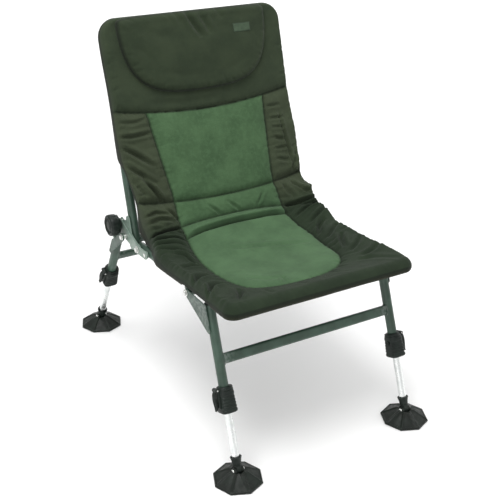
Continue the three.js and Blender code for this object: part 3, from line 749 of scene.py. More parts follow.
def make_camera():
    a, e, r = math.radians(-30.75), math.radians(26.02), math.radians(0.86)
    back = np.array([math.sin(a) * math.cos(e), -math.cos(a) * math.cos(e), math.sin(e)])
    right = np.array([math.cos(a), math.sin(a), 0.0])
    up = np.cross(back, right)
    x = right * math.cos(r) + up * math.sin(r)
    y = up * math.cos(r) - right * math.sin(r)
    look = np.array([0.017083, -0.00649, 0.336468])
    place = look + back * 2.322628
    data = bpy.data.cameras.new("photo_camera")
    data.sensor_width = 36.0
    data.sensor_fit = "AUTO"
    data.lens = 944.74 / 500 * 36.0
    data.clip_start, data.clip_end = 0.05, 60
    cam = bpy.data.objects.new("photo_camera", data)
    m = Matrix.Identity(4)
    for i in range(3):
        m[i][0], m[i][1], m[i][2], m[i][3] = x[i], y[i], back[i], place[i]
    cam.matrix_world = m
    bpy.context.scene.collection.objects.link(cam)
    bpy.context.scene.camera = cam


# ------------------------------------------------------------------ frame tubes
def weld_bead(parts, frame_, main_r, branch_r, off, s, mat=1, lump=0.35, seed=1, flat=None):
    """A weld round a branch tube that meets a main tube. Local x runs along the
    branch away from the main tube's axis, local z along the main tube."""
    g = np.random.default_rng(seed)
    n = 56
    a = np.linspace(0, 2 * math.pi, n, endpoint=False)
    if flat is None:
        yy, zz = branch_r * np.cos(a), branch_r * np.sin(a)
    else:
        q = superellipse(flat[0], flat[1], 3.2, n)
        yy, zz = q[:, 0], q[:, 1]
    xx = np.sqrt(np.maximum(main_r ** 2 - yy ** 2, 0.0)) * s
    line = np.stack([xx + s * off, yy * 1.04, zz * 1.04], 1)
    wobble = 1 + lump * np.interp(np.arange(n), np.arange(0, n + 4, 4), np.append(g.random(n // 4) - 0.5, 0))
    m = 8
    verts = []
    t = np.roll(line, -1, 0) - np.roll(line, 1, 0)
    t /= np.linalg.norm(t, axis=1)[:, None]
    out = line.copy()
    out[:, 0] = 0
    out /= np.linalg.norm(out, axis=1)[:, None]
    out -= (out * t).sum(1)[:, None] * t
    out /= np.linalg.norm(out, axis=1)[:, None]
    b = np.cross(t, out)
    for i in range(n):
        for k in range(m):
            c = 2 * math.pi * k / m
            verts.append(line[i] + 1.5 * wobble[i] * (math.cos(c) * out[i] + math.sin(c) * b[i]))
    parts.add(verts, ring_grid(n, m, closed_rows=True), frame_, mat)


def hex_bolt(parts, frame_, z, r, h, mat=0, washer=None, stud=None, dome=False):
    """Hexagon head or nut standing on z along local z, chamfered, with washer."""
    n = 48
    a = np.linspace(0, 2 * math.pi, n, endpoint=False)
    k = np.cos(math.pi / 6) / np.cos((a + 0.3) % (math.pi / 3) - math.pi / 6)
    rows = []
    for rr, zz, hexed in ((0.02, 0, 0), (0.97, 0, 1), (1.0, 0.06, 1), (1.0, 0.80, 1), (0.93, 0.93, 0.75), (0.84, 1.0, 0.3),
                          (0.62, 1.0, 0.0), (0.56, 0.96 if not dome else 1.05, 0.0), (0.02, 0.96 if not dome else 1.12, 0.0)):
        rad = r * rr * (hexed * k + (1 - hexed) * 0.93)
        rows.append(np.stack([rad * np.cos(a), rad * np.sin(a), np.full(n, z + h * zz)], 1))
    parts.add(np.concatenate(rows), ring_grid(len(rows), n), frame_, mat)
    if washer:
        wr, wt = washer
        s = 1 if h > 0 else -1
        v, f = lathe([(0, z - s * wt), (wr - 0.4, z - s * wt), (wr, z - s * (wt - 0.35)), (wr, z - s * 0.3), (wr - 0.4, z), (0, z)], 44)
        parts.add(v, f, frame_, mat)
    if stud:
        sr, sl = stud
        s = 1 if h > 0 else -1
        prof = [(0, z)]
        turns = int(abs(sl) / 0.9)
        for i in range(turns):
            prof += [(sr, z + h + s * (i * 0.9)), (sr - 0.35, z + h + s * (i * 0.9 + 0.45))]
        prof += [(sr - 0.6, z + h + sl), (0, z + h + sl)]
        v, f = lathe(prof, 28)
        parts.add(v, f, frame_, mat)


def make_frames():
    # seat frame: one bent tube, with its two open rear ends
    run = [(-RAIL_X, 96, rail_z(96)), (-RAIL_X, -346, rail_z(-346)), (RAIL_X, -346, rail_z(-346)), (RAIL_X, 96, rail_z(96))]
    p = Parts()
    p.add(*hollow_tube(bent_line(run, 55), TUBE_R, 9, 36, depth=16))
    p.make("seat_frame_tube_bent", [GREEN_STEEL], "seat", ["seat_frame_tube"], sharp=50)
    # its rear cross tube, welded in
    z = rail_z(66)
    p = Parts()
    p.add(*sweep(straight((-RAIL_X + 5, 66, z), (RAIL_X - 5, 66, z)), circle(9, 32)))
    for s in (-1, 1):
        f = basis((s * RAIL_X, 66, z), (0, *D1), (-s, 0, 0))
        weld_bead(p, f, TUBE_R, 9.2, 0, 1, 0, seed=3 + s)
    p.make("seat_rear_cross_tube_welded", [GREEN_STEEL], "seat", ["seat_rear_cross_tube"], sharp=60)
    # back frame
    def pt(x, u):
        return (x, *back_pt(41.2, u))
    p = Parts()
    p.add(*hollow_tube(bent_line([pt(-RAIL_X, 0), pt(-RAIL_X, 523), pt(RAIL_X, 523), pt(RAIL_X, 0)], 60), TUBE_R, 9, 36, depth=16))
    p.make("back_frame_tube_bent", [GREEN_STEEL], "back", ["back_frame_tube"], sharp=50)
    p = Parts()
    p.add(*sweep(straight(pt(-RAIL_X + 5, 18), pt(RAIL_X - 5, 18)), circle(9, 32)))
    for s in (-1, 1):
        f = basis(pt(s * RAIL_X, 18), (0, *U2), (-s, 0, 0))
        weld_bead(p, f, TUBE_R, 9.2, 0, 1, 0, seed=13 + s)
    p.make("back_cross_tube_welded", [GREEN_STEEL], "back", ["back_cross_tube"], sharp=60)


# -------------------------------------------------------------------- leg frames
def make_legs():
    for kind, d in LEGS.items():
        for tag, s in SIDES:
            F, length = leg_basis(kind, s)
            frame_body = kind + "_legs"
            # outer tube
            p = Parts()
            lo, hi = -d["end"], -d["start"]
            wall = [lo + 0.5, lo + 2.0] + list(np.linspace(lo + 6, hi - 6, 24)) + [hi - 2.0, hi - 0.5]
            p.add(*lathe([(9, lo + 0.5), (9.4, lo), (10.5, lo)] + [(TUBE_R, z) for z in wall] + [(10.5, hi), (9.4, hi)] + [(9, z) for z in reversed(wall)], 40), F)
            p.make(f"{kind}_leg_outer_{tag}", [GREEN_STEEL], frame_body, [f"{kind}_leg_tube_{tag}"], sharp=50)
            make_clamp(kind, tag, s, F, d, frame_body)
            # sliding leg
            p = Parts()
            z0, z1 = -length + CUP[0] + 3.3, -length + CUP[1] + d["inner"]
            p.add(*hollow_tube(straight((0, 0, z0), (0, 0, z1)), 8.5, 7.2, 36, up=(1, 0, 0), depth=12), F)
            make_spring_buttons(p, F, -length + CUP[1])
            p.make(f"{kind}_leg_sliding_{tag}", [ALUMINIUM], f"{kind}_{tag}_inner_leg", [f"{kind}_inner_leg_{tag}"], sharp=50)
            make_socket(kind, tag, s, F, length)
            make_foot(kind, tag, s, d)
        make_cross_bar(kind, d)


def make_spring_buttons(p, F, z):
    """Two shallow dimples pressed round the tube just above the socket."""
    for k in (0, 1):
        v, f = lathe([(8.2, z + 9 + 6 * k), (8.75, z + 9.5 + 6 * k), (8.75, z + 10.5 + 6 * k), (8.2, z + 11 + 6 * k), (8.2, z + 9 + 6 * k)], 36)
        p.add(v, f, F)


def make_clamp(kind, tag, s, F, d, body):
    top, bottom = -d["clamp"][0], -d["clamp"][1]
    h = top - bottom
    n = 72
    a = np.linspace(0, 2 * math.pi, n, endpoint=False)
    p = Parts()
    rows = []

    def section(t, hx, hy, e, shift=0.0, rib=0.0, inner=None):
        q = superellipse(hx, hy, e, n)
        z = np.full(n, bottom + t * h)
        if rib:
            w = np.clip(np.cos(a + math.pi / 2) * 1.6 - 0.35, 0, 1) + np.clip(np.cos(a - math.pi / 2) * 1.6 - 0.35, 0, 1)
            q = q * (1 + (rib / 18.0) * w[:, None])
        rows.append(np.stack([q[:, 0] + shift, q[:, 1], z], 1))

    # outside: flat-bottomed box that tapers upward into a collar, with ribs
    section(0.000, 9.4, 9.4, 2)
    section(0.000, 16.6, 17.2, 4.0)
    section(0.018, 18.1, 18.8, 4.0)
    section(0.050, 18.9, 19.5, 4.2)
    section(0.115, 18.9, 19.5, 4.2)
    section(0.135, 17.9, 18.4, 4.4)
    for k in range(4):
        t = 0.185 + 0.118 * k
        w = 17.8 - 0.35 * k
        section(t, w, w + 0.5, 4.4)
        section(t + 0.020, w, w + 0.5, 4.4, rib=1.1)
        section(t + 0.060, w - 0.1, w + 0.4, 4.4, rib=1.1)
        section(t + 0.080, w - 0.1, w + 0.4, 4.4)
    section(0.680, 16.7, 17.3, 4.4)
    section(0.700, 17.9, 18.3, 3.6)
    section(0.760, 18.2, 18.4, 3.4)
    section(0.860, 17.3, 17.6, 3.0)
    section(0.930, 16.2, 16.4, 2.6)
    section(0.975, 15.2, 15.3, 2.3)
    section(1.000, 13.7, 13.7, 2)
    section(1.000, 11.9, 11.9, 2)
    section(0.975, 11.35, 11.35, 2)
    section(0.470, 11.35, 11.35, 2)
    section(0.450, 8.95, 8.95, 2)
    section(0.015, 8.95, 8.95, 2)
    p.add(np.concatenate(rows), ring_grid(len(rows), n, closed_rows=True), F)
    # stepped C ring round the mouth, open toward the lever
    for z, r, w in ((top - 5.2, 18.3, 1.5), (top - 10.2, 18.9, 1.3)):
        pts = []
        for k in range(41):
            c = math.radians(52 + 256 * k / 40)
            ease = math.sin(math.pi * k / 40) ** 0.35 if 0 < k < 40 else 0.02
            pts.append((r * math.cos(c) * 0.98, r * math.sin(c), z - 2.2 * math.cos(c)))
        p.add(*sweep(pts, superellipse(w, 1.1, 2.6, 14), up=(0, 0, 1)), F)
    # two cheeks that hold the lever's pin, joined to the box by webs
    for e in (-1, 1):
        cheek = lambda Y, Z: smin(sd_capsule(Y, Z, (14, top - 9), (20.2, top - 5.4), 7.5, 4.9),
                                  sd_poly(Y, Z, [(10, top - 6), (17, top - 6), (22.4, top - 14), (21.5, bottom + 14), (15, bottom + 8), (10, bottom + 8)]), 3)
        loops = outline(cheek, (4, bottom, 30, top + 6), 0.7)
        v, f = plate(loops[:1], e * 7.8 - 1.5, e * 7.8 + 1.5, 0.5)
        G = F @ np.array([[0, 1, 0, 0], [1, 0, 0, 0], [0, 0, 1, 0], [0, 0, 0, 1]], float)   # (x, y, z) of the plate to (y, x, z) of the leg
        p.add(v, f, G)
    # a raised pad and screw boss on the inner side
    v, f = lathe([(0, 15.5), (5.4, 15.5), (5.4, 19.0), (4.6, 19.6), (2.9, 19.6), (2.6, 18.6), (0, 18.6)], 32)
    p.add(v, f, F @ basis((0, 0, bottom + 0.62 * h), (-1, 0, 0), (0, 0, 1)))
    obj = p.make(f"{kind}_clamp_{tag}", [BLACK], body, [f"{kind}_clamp_body_{tag}"], sharp=32)
    add_bevel(obj, 0.35, 2, 34)
    # hinge pin of the lever
    p = Parts()
    v, f = lathe([(0, -10.6), (1.4, -10.6), (1.7, -10.2), (1.7, 10.2), (1.4, 10.6), (0, 10.6)], 20)
    p.add(v, f, F @ basis((20.2, 0, top - 5), (0, 1, 0), (1, 0, 0)))
    p.make(f"{kind}_clamp_pin_{tag}", [ZINC], body, ())
    make_lever(kind, tag, F, top)


def make_lever(kind, tag, F, top):
    """Cam lever: a looped strap with a window, its cam round the pin, and a
    finger tip that turns outward."""
    lz = top - 5.0
    line = [(19.6, lz + 1.5), (22.6, lz - 2.0), (25.2, lz - 8), (26.3, lz - 16), (26.3, lz - 25), (25.2, lz - 33), (24.6, lz - 38), (25.6, lz - 42), (28.0, lz - 45.4)]
    pts = soft_corner([np.array(q, float) for q in line], 5, 5)
    pts3 = [(q[0], 0, q[1]) for q in pts]
    p = Parts()
    sec = superellipse(1.7, 5.2, 4.5, 28)

    def width(t):
        return (1.0 - 0.25 * max(0, t - 0.82) / 0.18, 1.0 + 0.12 * math.sin(math.pi * min(1, t / 0.85)) - 0.25 * max(0, t - 0.85) / 0.15)
    v, f = sweep(pts3, sec, up=(1, 0, 0), scale=width)
    p.add(v, f, F)
    # raised edge rails along both sides and a centre bead
    for off, w, hgt in ((-4.3, 1.0, 1.5), (4.3, 1.0, 1.5), (0, 0.8, 0.9)):
        pts_ = [(q[0] + 1.5, off * (1.0 - 0.2 * (i / len(pts)) ** 3), q[1]) for i, q in enumerate(pts[3:-3])]
        p.add(*sweep(pts_, superellipse(hgt, w, 2.6, 14), up=(1, 0, 0), scale=lambda t: 0.35 + 0.65 * min(1, 6 * t, 6 * (1 - t))), F)
    # cam barrel round the pin
    v, f = lathe([(0, -5.7), (4.0, -5.7), (4.5, -5.2), (4.5, 5.2), (4.0, 5.7), (0, 5.7)], 32)
    p.add(v, f, F @ basis((20.0, 0, lz), (0, 1, 0), (1, 0, 0)))
    # inner return strap, so that the lever is a flat loop
    back_ = [(17.6, lz - 3.5), (19.6, lz - 10), (20.9, lz - 20), (22.2, lz - 30), (24.4, lz - 37.5)]
    pts_ = [(q[0], 0, q[1]) for q in soft_corner([np.array(q, float) for q in back_], 4, 4)]
    p.add(*sweep(pts_, superellipse(1.2, 3.6, 4, 20), up=(1, 0, 0)), F)
    obj = p.make(f"{kind}_lever_{tag}", [BLACK], f"{kind}_{tag}_lever", [f"{kind}_cam_lever_{tag}"], sharp=40)
    return obj


def make_socket(kind, tag, s, F, length):
    p = Parts()
    z = -length
    c0, c1 = CUP
    prof = [(0, z + c0 - 1.2), (6.4, z + c0 - 1.2), (8.6, z + c0 - 0.4), (9.6, z + c0 + 1.2), (10.1, z + c0 + 5), (10.3, z + c0 + 6.0), (9.9, z + c0 + 6.6),
            (10.6, z + c0 + 9), (11.7, z + c1 - 5), (12.9, z + c1 - 1.6), (13.0, z + c1 - 0.5), (12.6, z + c1), (11.6, z + c1 + 0.1), (10.0, z + c1 - 3.0), (8.75, z + c1 - 6),
            (8.75, z + c0 + 3), (0, z + c0 + 3)]
    v, f = lathe(prof, 48)
    p.add(v, f, F)
    loops = outline(lambda Y, Z: sd_capsule(Y, Z, (0, 0), (0, c0 - 3.5), 7.6, 8.0), (-12, -12, 12, 24), 0.6)
    hole = [np.array([(3.1 * math.cos(t), 3.1 * math.sin(t)) for t in np.linspace(0, 2 * math.pi, 28, endpoint=False)])]
    v, f = plate(loops[:1] + hole, -5.9, 5.9, 0.7)
    p.add(np.array(v) + (0, 0, z), f, F)
    # two fins that stiffen the tongue
    for e in (-1, 1):
        v, f = plate([np.array([(-2.0, 3.4), (2.0, 3.4), (3.4, c0 + 1), (-3.4, c0 + 1)])], e * 5.6 - 0.5, e * 5.6 + 0.5, 0.2)
        p.add(np.array(v) + (0, 0, z), f, F)
    p.make(f"{kind}_leg_cup_{tag}", [BLACK], f"{kind}_{tag}_inner_leg", [f"{kind}_leg_socket_{tag}"], sharp=36)
    # bright pin through the tongue and the foot's ears
    p = Parts()
    G = basis((s * LEGS[kind]["hub"][0], LEGS[kind]["hub"][1], HUB_Z), (1, 0, 0), (0, 1, 0))
    prof = [(0, -14.6), (3.6, -14.6), (4.7, -14.0), (5.2, -13.2), (5.2, -12.2), (3.0, -12.0), (3.0, 12.0), (5.2, 12.2), (5.2, 13.2), (4.7, 14.0), (3.6, 14.6), (1.6, 14.7), (1.3, 14.0), (0, 14.0)]
    p.add(*lathe(prof, 36), G)
    p.make(f"{kind}_foot_rivet_{tag}", [ZINC], f"{kind}_{tag}_inner_leg", [f"foot_pin_{kind}_{tag}"], sharp=36)


def make_foot(kind, tag, s, d):
    """Octagonal mud foot: thin dome on eight ribs with a rolled rim, a tab to
    the front, and two ears with the pin in a round well."""
    hub = (s * d["hub"][0], d["hub"][1])
    n = 8 * 14
    a = np.linspace(0, 2 * math.pi, n, endpoint=False) + math.pi / 8
    cell = (a - math.pi / 8) % (math.pi / 4) - math.pi / 8          # 0 at mid-facet
    # corners lie at multiples of 45 degrees from the x axis
    oct_ = math.cos(math.pi / 8) / np.cos((a % (math.pi / 4)) - math.pi / 8)
    corner = np.abs(((a + math.pi / 8) % (math.pi / 4)) - math.pi / 8)   # angle to the nearest corner
    prof_r = np.array([12, 16, 22, 28, 36, 46, 53, 57.0])
    prof_z = np.array([26.2, 25.6, 23.6, 20.8, 16.0, 9.6, 5.4, 3.0])

    def height(rho):
        base = np.interp(rho, prof_r, prof_z)
        smooth_ = np.interp(rho + 2, prof_r, prof_z) * 0.25 + base * 0.5 + np.interp(rho - 2, prof_r, prof_z) * 0.25
        return smooth_

    rows = []

    def ring(rho, z=None, dz=0.0, rib=True, blend=1.0):
        r = rho * ((1 - blend) + blend * oct_)
        if z is None:
            zz = height(np.full(n, rho)) + dz
            arc = corner * rho
            if rib:
                k = np.interp(rho, [14, 20, 50, 55], [0.4, 1, 1, 0.6])
                zz = zz + 1.9 * k * np.exp(-(arc / 1.7) ** 2) - 0.9 * k * np.interp(rho, [20, 34, 50], [0, 1, 0.3]) * np.cos(4 * (cell)) ** 2
            # the tab toward the front, flat topped and about 9 mm wide
            yy = -r * np.sin(a)
            xx = r * np.cos(a)
            t = np.clip((5.4 - np.abs(xx)) / 1.2, 0, 1) * (yy > 6)
            zz = zz + t * np.interp(rho, [14, 20, 50, 56.5], [0.5, 2.2, 2.4, 1.6])
        else:
            zz = np.full(n, z)
        rows.append(np.stack([r * np.cos(a), r * np.sin(a), zz], 1))

    # top, from the well outward
    ring(0.05, 12.0, blend=0)
    ring(12.0, 12.0, blend=0)
    ring(13.2, 12.8, blend=0)
    ring(13.6, 24.4, blend=0)
    ring(14.4, 26.0, blend=0.1)
    for rho in np.concatenate([np.linspace(16, 50, 18), [51.5, 52.6]]):
        ring(float(rho), blend=min(1.0, (rho - 12) / 10))
    ring(53.4, dz=0.9, rib=False)
    ring(54.6, dz=1.5, rib=False)
    ring(55.8, dz=1.2, rib=False)
    ring(56.8, 3.0)
    ring(57.0, 1.6)
    ring(56.6, 0.35)
    ring(55.8, 0.0)
    ring(53.4, 0.0)
    ring(52.6, 0.8)
    # hollow underside with a ring
    ring(50.0, 3.4)
    ring(36.0, 11.0)
    ring(24.0, 13.0, blend=0.6)
    ring(16.0, 9.0, blend=0.0)
    ring(13.0, 2.0, blend=0.0)
    ring(10.5, 1.2, blend=0.0)
    ring(9.5, 6.5, blend=0.0)
    ring(0.05, 6.5, blend=0.0)
    F = basis((hub[0], hub[1], 0), (0, 0, 1), (1, 0, 0))
    p = Parts()
    p.add(np.concatenate(rows), ring_grid(len(rows), n), F)
    # ears
    ear = outline(lambda Y, Z: smin(sd_capsule(Y, Z, (0, 12), (0, HUB_Z), 10.4, 8.4), sd_poly(Y, Z, [(-12.4, 10), (12.4, 10), (9, 22), (-9, 22)]), 2), (-18, 4, 18, 40), 0.6)[0]
    hole = np.array([(3.15 * math.cos(t), HUB_Z + 3.15 * math.sin(t)) for t in np.linspace(0, 2 * math.pi, 28, endpoint=False)])
    for e in (-1, 1):
        x0, x1 = (6.6, 11.8) if e > 0 else (-11.8, -6.6)
        v, f = plate([ear, hole], x0, x1, 0.8)
        p.add(v, f, F)
        v, f = lathe([(3.15, e * 11.2), (7.0, e * 11.2), (7.0, e * 12.0), (3.15, e * 12.0), (3.15, e * 11.2)], 32)
        p.add(v, f, F @ basis((0, 0, HUB_Z), (1, 0, 0), (0, 1, 0)))
    # drain studs on the facets
    for k in range(8):
        t = math.radians(22.5 + 45 * k)
        rho = 43.0
        z = float(height(np.array([rho]))[0]) - 1.0
        tilt = math.atan2(float(height(np.array([rho - 3]))[0] - height(np.array([rho + 3]))[0]), 6)
        c = (rho * math.cos(t) * math.cos(math.pi / 8), rho * math.sin(t) * math.cos(math.pi / 8), z)
        nrm = (math.cos(t) * math.sin(tilt), math.sin(t) * math.sin(tilt), math.cos(tilt))
        v, f = lathe([(0, -1.5), (2.9, -1.5), (2.9, 0.55), (2.4, 1.0), (1.5, 1.0), (1.2, 0.4), (0, 0.4)], 20)
        p.add(v, f, F @ basis(c, nrm, (0, 1, 0.1)))
    p.make(f"{kind}_mud_foot_{tag}", [BLACK_FOOT], f"{kind}_{tag}_foot", [f"mud_foot_{kind}_{tag}"], sharp=34)


def make_cross_bar(kind, d):
    top, hub = np.array(d["top"]), np.array(d["hub"])
    up = np.array([0, top[1] - hub[1], top[2] - hub[2]])
    up /= np.linalg.norm(up)
    t = d["cross"] / np.linalg.norm(top - hub)
    c = top + (hub - top) * t
    half = c[0]
    F = basis((0, c[1], c[2]), (1, 0, 0), up)     # local x up the legs, z across
    p = Parts()
    line = straight((0, 0, -half + 9.4), (0, 0, half - 9.4), 40)
    p.add(*sweep(line, rounded_rect(24, 13, 6.3, 7), up=(1, 0, 0)), F)
    for s in (-1, 1):
        g = basis((s * half, c[1], c[2]), up, (-s, 0, 0))
        weld_bead(p, g, TUBE_R, 0, 0, 1, 0, seed=23 + s, flat=(6.9, 12.4))
    p.make(f"{kind}_cross_bar_oval", [GREEN_STEEL], f"{kind}_legs", [f"{kind}_cross_bar"], sharp=60)


# ------------------------------------------------ plates, bolts and hand wheels
def body(node):
    return NODES[node]["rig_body"]


def span(s, x):
    return (-x[1], -x[0]) if s < 0 else (x[0], x[1])


def circle_loop(c, r, n=28):
    t = np.linspace(0, 2 * math.pi, n, endpoint=False)
    return np.stack([c[0] + r * np.cos(t), c[1] + r * np.sin(t)], 1)


def down(top, hub, at):
    top, hub = np.array(top), np.array(hub)
    q = top + (hub - top) * at / np.linalg.norm(hub - top)
    return (q[1], q[2])


def make_plates():
    c0, c1 = down(FT, FH, 4), down(FT, FH, 56)
    d0, d1 = down(RT, RH, 63), down(RT, RH, 104)
    slot_r = math.hypot(KB[0] - P1[0], KB[1] - P1[1])
    slot_a = math.atan2(KB[1] - P1[1], KB[0] - P1[0])
    rec = math.radians(6)

    def front_gusset(Y, Z):
        f = np.minimum(sd_capsule(Y, Z, A, c0, 9, 8), sd_capsule(Y, Z, A, c1, 9, 6))
        f = np.minimum(f, sd_capsule(Y, Z, c0, c1, 8, 6))
        return np.minimum(f, sd_poly(Y, Z, [A, c0, c1]))

    def rear_gusset(Y, Z):
        f = np.minimum(sd_capsule(Y, Z, R, d0, 9.6, 5.5), sd_capsule(Y, Z, R, d1, 9.6, 5.5))
        return np.minimum(np.minimum(f, sd_capsule(Y, Z, d0, d1, 5.5)), sd_poly(Y, Z, [R, d0, d1]))

    def arm(Y, Z):
        f = sd_capsule(Y, Z, (40, rail_z(40)), P1, 11)
        for q in ((P1, R, 11, 10.5), (P1, KB, 11, 13), (R, KB, 10.5, 13), (KB, STOP, 12, 9)):
            f = smin(f, sd_capsule(Y, Z, *q), 3)
        return smin(f, sd_poly(Y, Z, [R, KB, (STOP[0] - 4, STOP[1] + 4)]), 3)

    def bracket(Y, Z):
        bp = lambda n, u: back_pt(n, u)
        f = sd_capsule(Y, Z, P1, bp(41.2, 8), 13, 10.5)
        f = smin(f, sd_capsule(Y, Z, bp(41.2, 6), bp(41.2, 68), 10.5), 4)
        f = smin(f, sd_poly(Y, Z, [P1, bp(41.2, 2), bp(41.2, 40), (P1[0] + 4, P1[1] + 11)]), 3)
        tip = (P1[0] + slot_r * math.cos(slot_a), P1[1] + slot_r * math.sin(slot_a))
        f = smin(f, sd_capsule(Y, Z, bp(41.2, 34), tip, 8.5, 7.6), 4)
        f = smin(f, sd_arc(Y, Z, P1, slot_r, 8, slot_a - math.radians(6.5), slot_a + rec), 4)
        far = (P1[0] + (slot_r + 4) * math.cos(slot_a + rec), P1[1] + (slot_r + 4) * math.sin(slot_a + rec))
        near = (P1[0] + (slot_r - 4) * math.cos(slot_a), P1[1] + (slot_r - 4) * math.sin(slot_a))
        f = smin(f, sd_poly(Y, Z, [bp(41.2, 30), bp(41.2, 66), far, near]), 4)
        cut_ = np.minimum(sd_arc(Y, Z, P1, slot_r, 4, slot_a - 0.02, slot_a + rec),
                          sd_arc(Y, Z, P1, slot_r, 4.3, slot_a - 0.34, slot_a - 0.02))
        return np.maximum(f, -cut_)

    shapes = {
        "fg": outline(front_gusset, (-290, 300, -140, 392), 0.9)[:1],
        "rg": outline(rear_gusset, (120, 270, 290, 395), 0.9)[:1],
        "arm": outline(arm, (10, 320, 230, 420), 0.9)[:1],
        "br": outline(bracket, (50, 330, 230, 460), 0.7)[:1],
    }
    for tag, s in SIDES:
        def flat(key, holes, x, extra=None, name="", node="", mat=GREEN_STEEL, bev=0.5):
            p = Parts()
            loops = shapes[key] + [circle_loop(c, r) for c, r in holes]
            p.add(*plate(loops, *span(s, x), bev))
            if extra:
                extra(p)
            p.make(name, [mat, ZINC], body(node), [node], sharp=36)

        flat("fg", [(A, 4.3)], (238.4, 240.9), None, f"front_gusset_plate_{tag}", f"front_gusset_{tag}")

        def welds(p, kind, at0, at1, x):
            F, length = leg_basis(kind, s)
            for y in (-6.5, 6.5):
                pts = [(10.2, y * (1 + 0.02 * math.sin(k)), -at0 - (at1 - at0) * k / 14) for k in range(15)]
                p.add(*sweep(pts, circle(1.5, 8), scale=lambda t: 0.35 + 0.65 * min(1, 8 * t, 8 * (1 - t))), F)

        flat("rg", [(R, 4.3), (STOP, 4.8)], (253.3, 255.8), lambda p: welds(p, "rear", 62, 106, 253), f"rear_gusset_plate_{tag}", f"rear_gusset_{tag}")

        def boss(p):
            for c, r, x0, x1 in (((40, rail_z(40)), 9, RAIL_X + TUBE_R + 0.3, 242), (STOP, 4.5, 243, 257.5)):
                v, f = lathe([(0, x0), (r - 0.5, x0), (r, x0 + 0.5), (r, x1 - 0.8), (r - 0.8, x1), (0, x1)], 32)
                p.add(v, f, x_axis_frame(c[0], c[1], 0, s))
            hex_bolt(p, x_axis_frame(40, rail_z(40), 0, s), 243.9, 5.2, 1.6, 1)
        flat("arm", [(P1, 4.3), (R, 4.3), (KB, 3.9)], (241.4, 243.9), boss, f"recliner_arm_plate_{tag}", f"recliner_arm_{tag}", PALE_STEEL)
        flat("br", [(P1, 4.3)], (238.4, 240.9), None, f"back_bracket_plate_{tag}", f"back_bracket_{tag}", PALE_STEEL)

        for node, c, shaft, washer, head, nut, hr, wr in (
                ("front_pivot_bolt", A, (213, 245.4), 242.6, 4.2, (216.9, -5.3), 6.5, 8.5),
                ("back_hinge_bolt", P1, (211, 247), 245.6, 4.2, (215.3, -5.5), 6.5, 8.5)):
            p = Parts()
            G = x_axis_frame(c[0], c[1], 0, s)
            v, f = lathe([(0, shaft[0]), (3.4, shaft[0]), (4, shaft[0] + 0.8), (4, shaft[1]), (0, shaft[1])], 28)
            p.add(v, f, G)
            hex_bolt(p, G, washer, hr, head, washer=(wr, 1.5))
            hex_bolt(p, G, nut[0], 6.9, nut[1], dome=True)
            p.make(f"{node}_hex_{tag}", [ZINC], body(f"{node}_{tag}"), [f"{node}_{tag}"], sharp=32)
        p = Parts()
        G = x_axis_frame(R[0], R[1], 0, s)
        v, f = lathe([(0, 241.6), (4, 241.6), (4, 244.3), (5.3, 244.3), (5.6, 244.6), (5.6, 252.6), (5.3, 252.9), (4, 252.9), (4, 256.4), (0, 256.4)], 28)
        p.add(v, f, G)
        hex_bolt(p, G, 257.3, 5.9, 3.3, washer=(7.4, 1.2))
        p.make(f"rear_pivot_bolt_hex_{tag}", [ZINC], body(f"rear_pivot_bolt_{tag}"), [f"rear_pivot_bolt_{tag}"], sharp=32)
        p = Parts()
        G = x_axis_frame(KB[0], KB[1], 0, s)
        v, f = lathe([(0, 234.9), (4.6, 235.0), (6.8, 235.8), (7.8, 237.0), (8, 238.1), (3.6, 238.1), (3.6, 264), (0, 264)], 36)
        p.add(v, f, G)
        p.make(f"clamp_bolt_round_{tag}", [ZINC], body(f"clamp_bolt_{tag}"), [f"clamp_bolt_{tag}"], sharp=36)

        def lobes(r, z, a):
            k = np.clip((r - 19) / 4.0, 0, 1)
            return r - k * 1.5 * (1 - np.abs(np.cos(4 * a)) ** 0.7)
        prof = [(0, 244.5), (11.6, 244.5), (12.9, 245.4), (13.0, 249.4), (14.2, 250.2), (22.0, 250.3), (24.2, 251.4), (24.6, 254.8), (25.4, 256.4), (26.8, 257.6),
                (27.5, 260.0), (27.5, 269.6), (27.2, 272.4), (26.2, 274.7), (24.4, 276.3), (22.2, 277.0), (20.6, 276.6), (19.4, 275.3), (18.7, 274.0), (17.4, 273.5),
                (14.4, 273.7), (13.2, 274.6), (11.0, 275.6), (7.0, 276.3), (3.0, 276.6), (0, 276.7)]
        p = Parts()
        v, f = lathe(prof, 96, lobes)
        p.add(v, f, G)
        for k in range(8):
            t = math.radians(45 * k + 22.5)
            rib = [(13.6 * math.cos(t), 13.6 * math.sin(t), 273.7), (19.2 * math.cos(t), 19.2 * math.sin(t), 273.9)]
            p.add(*sweep(straight(*rib, 3), superellipse(1.0, 0.9, 3, 12), up=(0, 0, 1)), G)
        p.make(f"hand_wheel_lobed_{tag}", [BLACK], body(f"hand_wheel_{tag}"), [f"hand_wheel_{tag}"], sharp=38)

        for node, mat, slot_ in ((f"front_hinge_lug_{tag}", GREEN_STEEL, "green_steel"), (f"front_leg_cap_{tag}", BLACK, "black_plastic")):
            o = NODES[node]
            o.data.materials.clear()
            o.data.materials.append(mat)
            w = o.modifiers.new("weld", "WELD")
            w.merge_threshold = 0.00002
            add_bevel(o, 0.5, 2, 32)


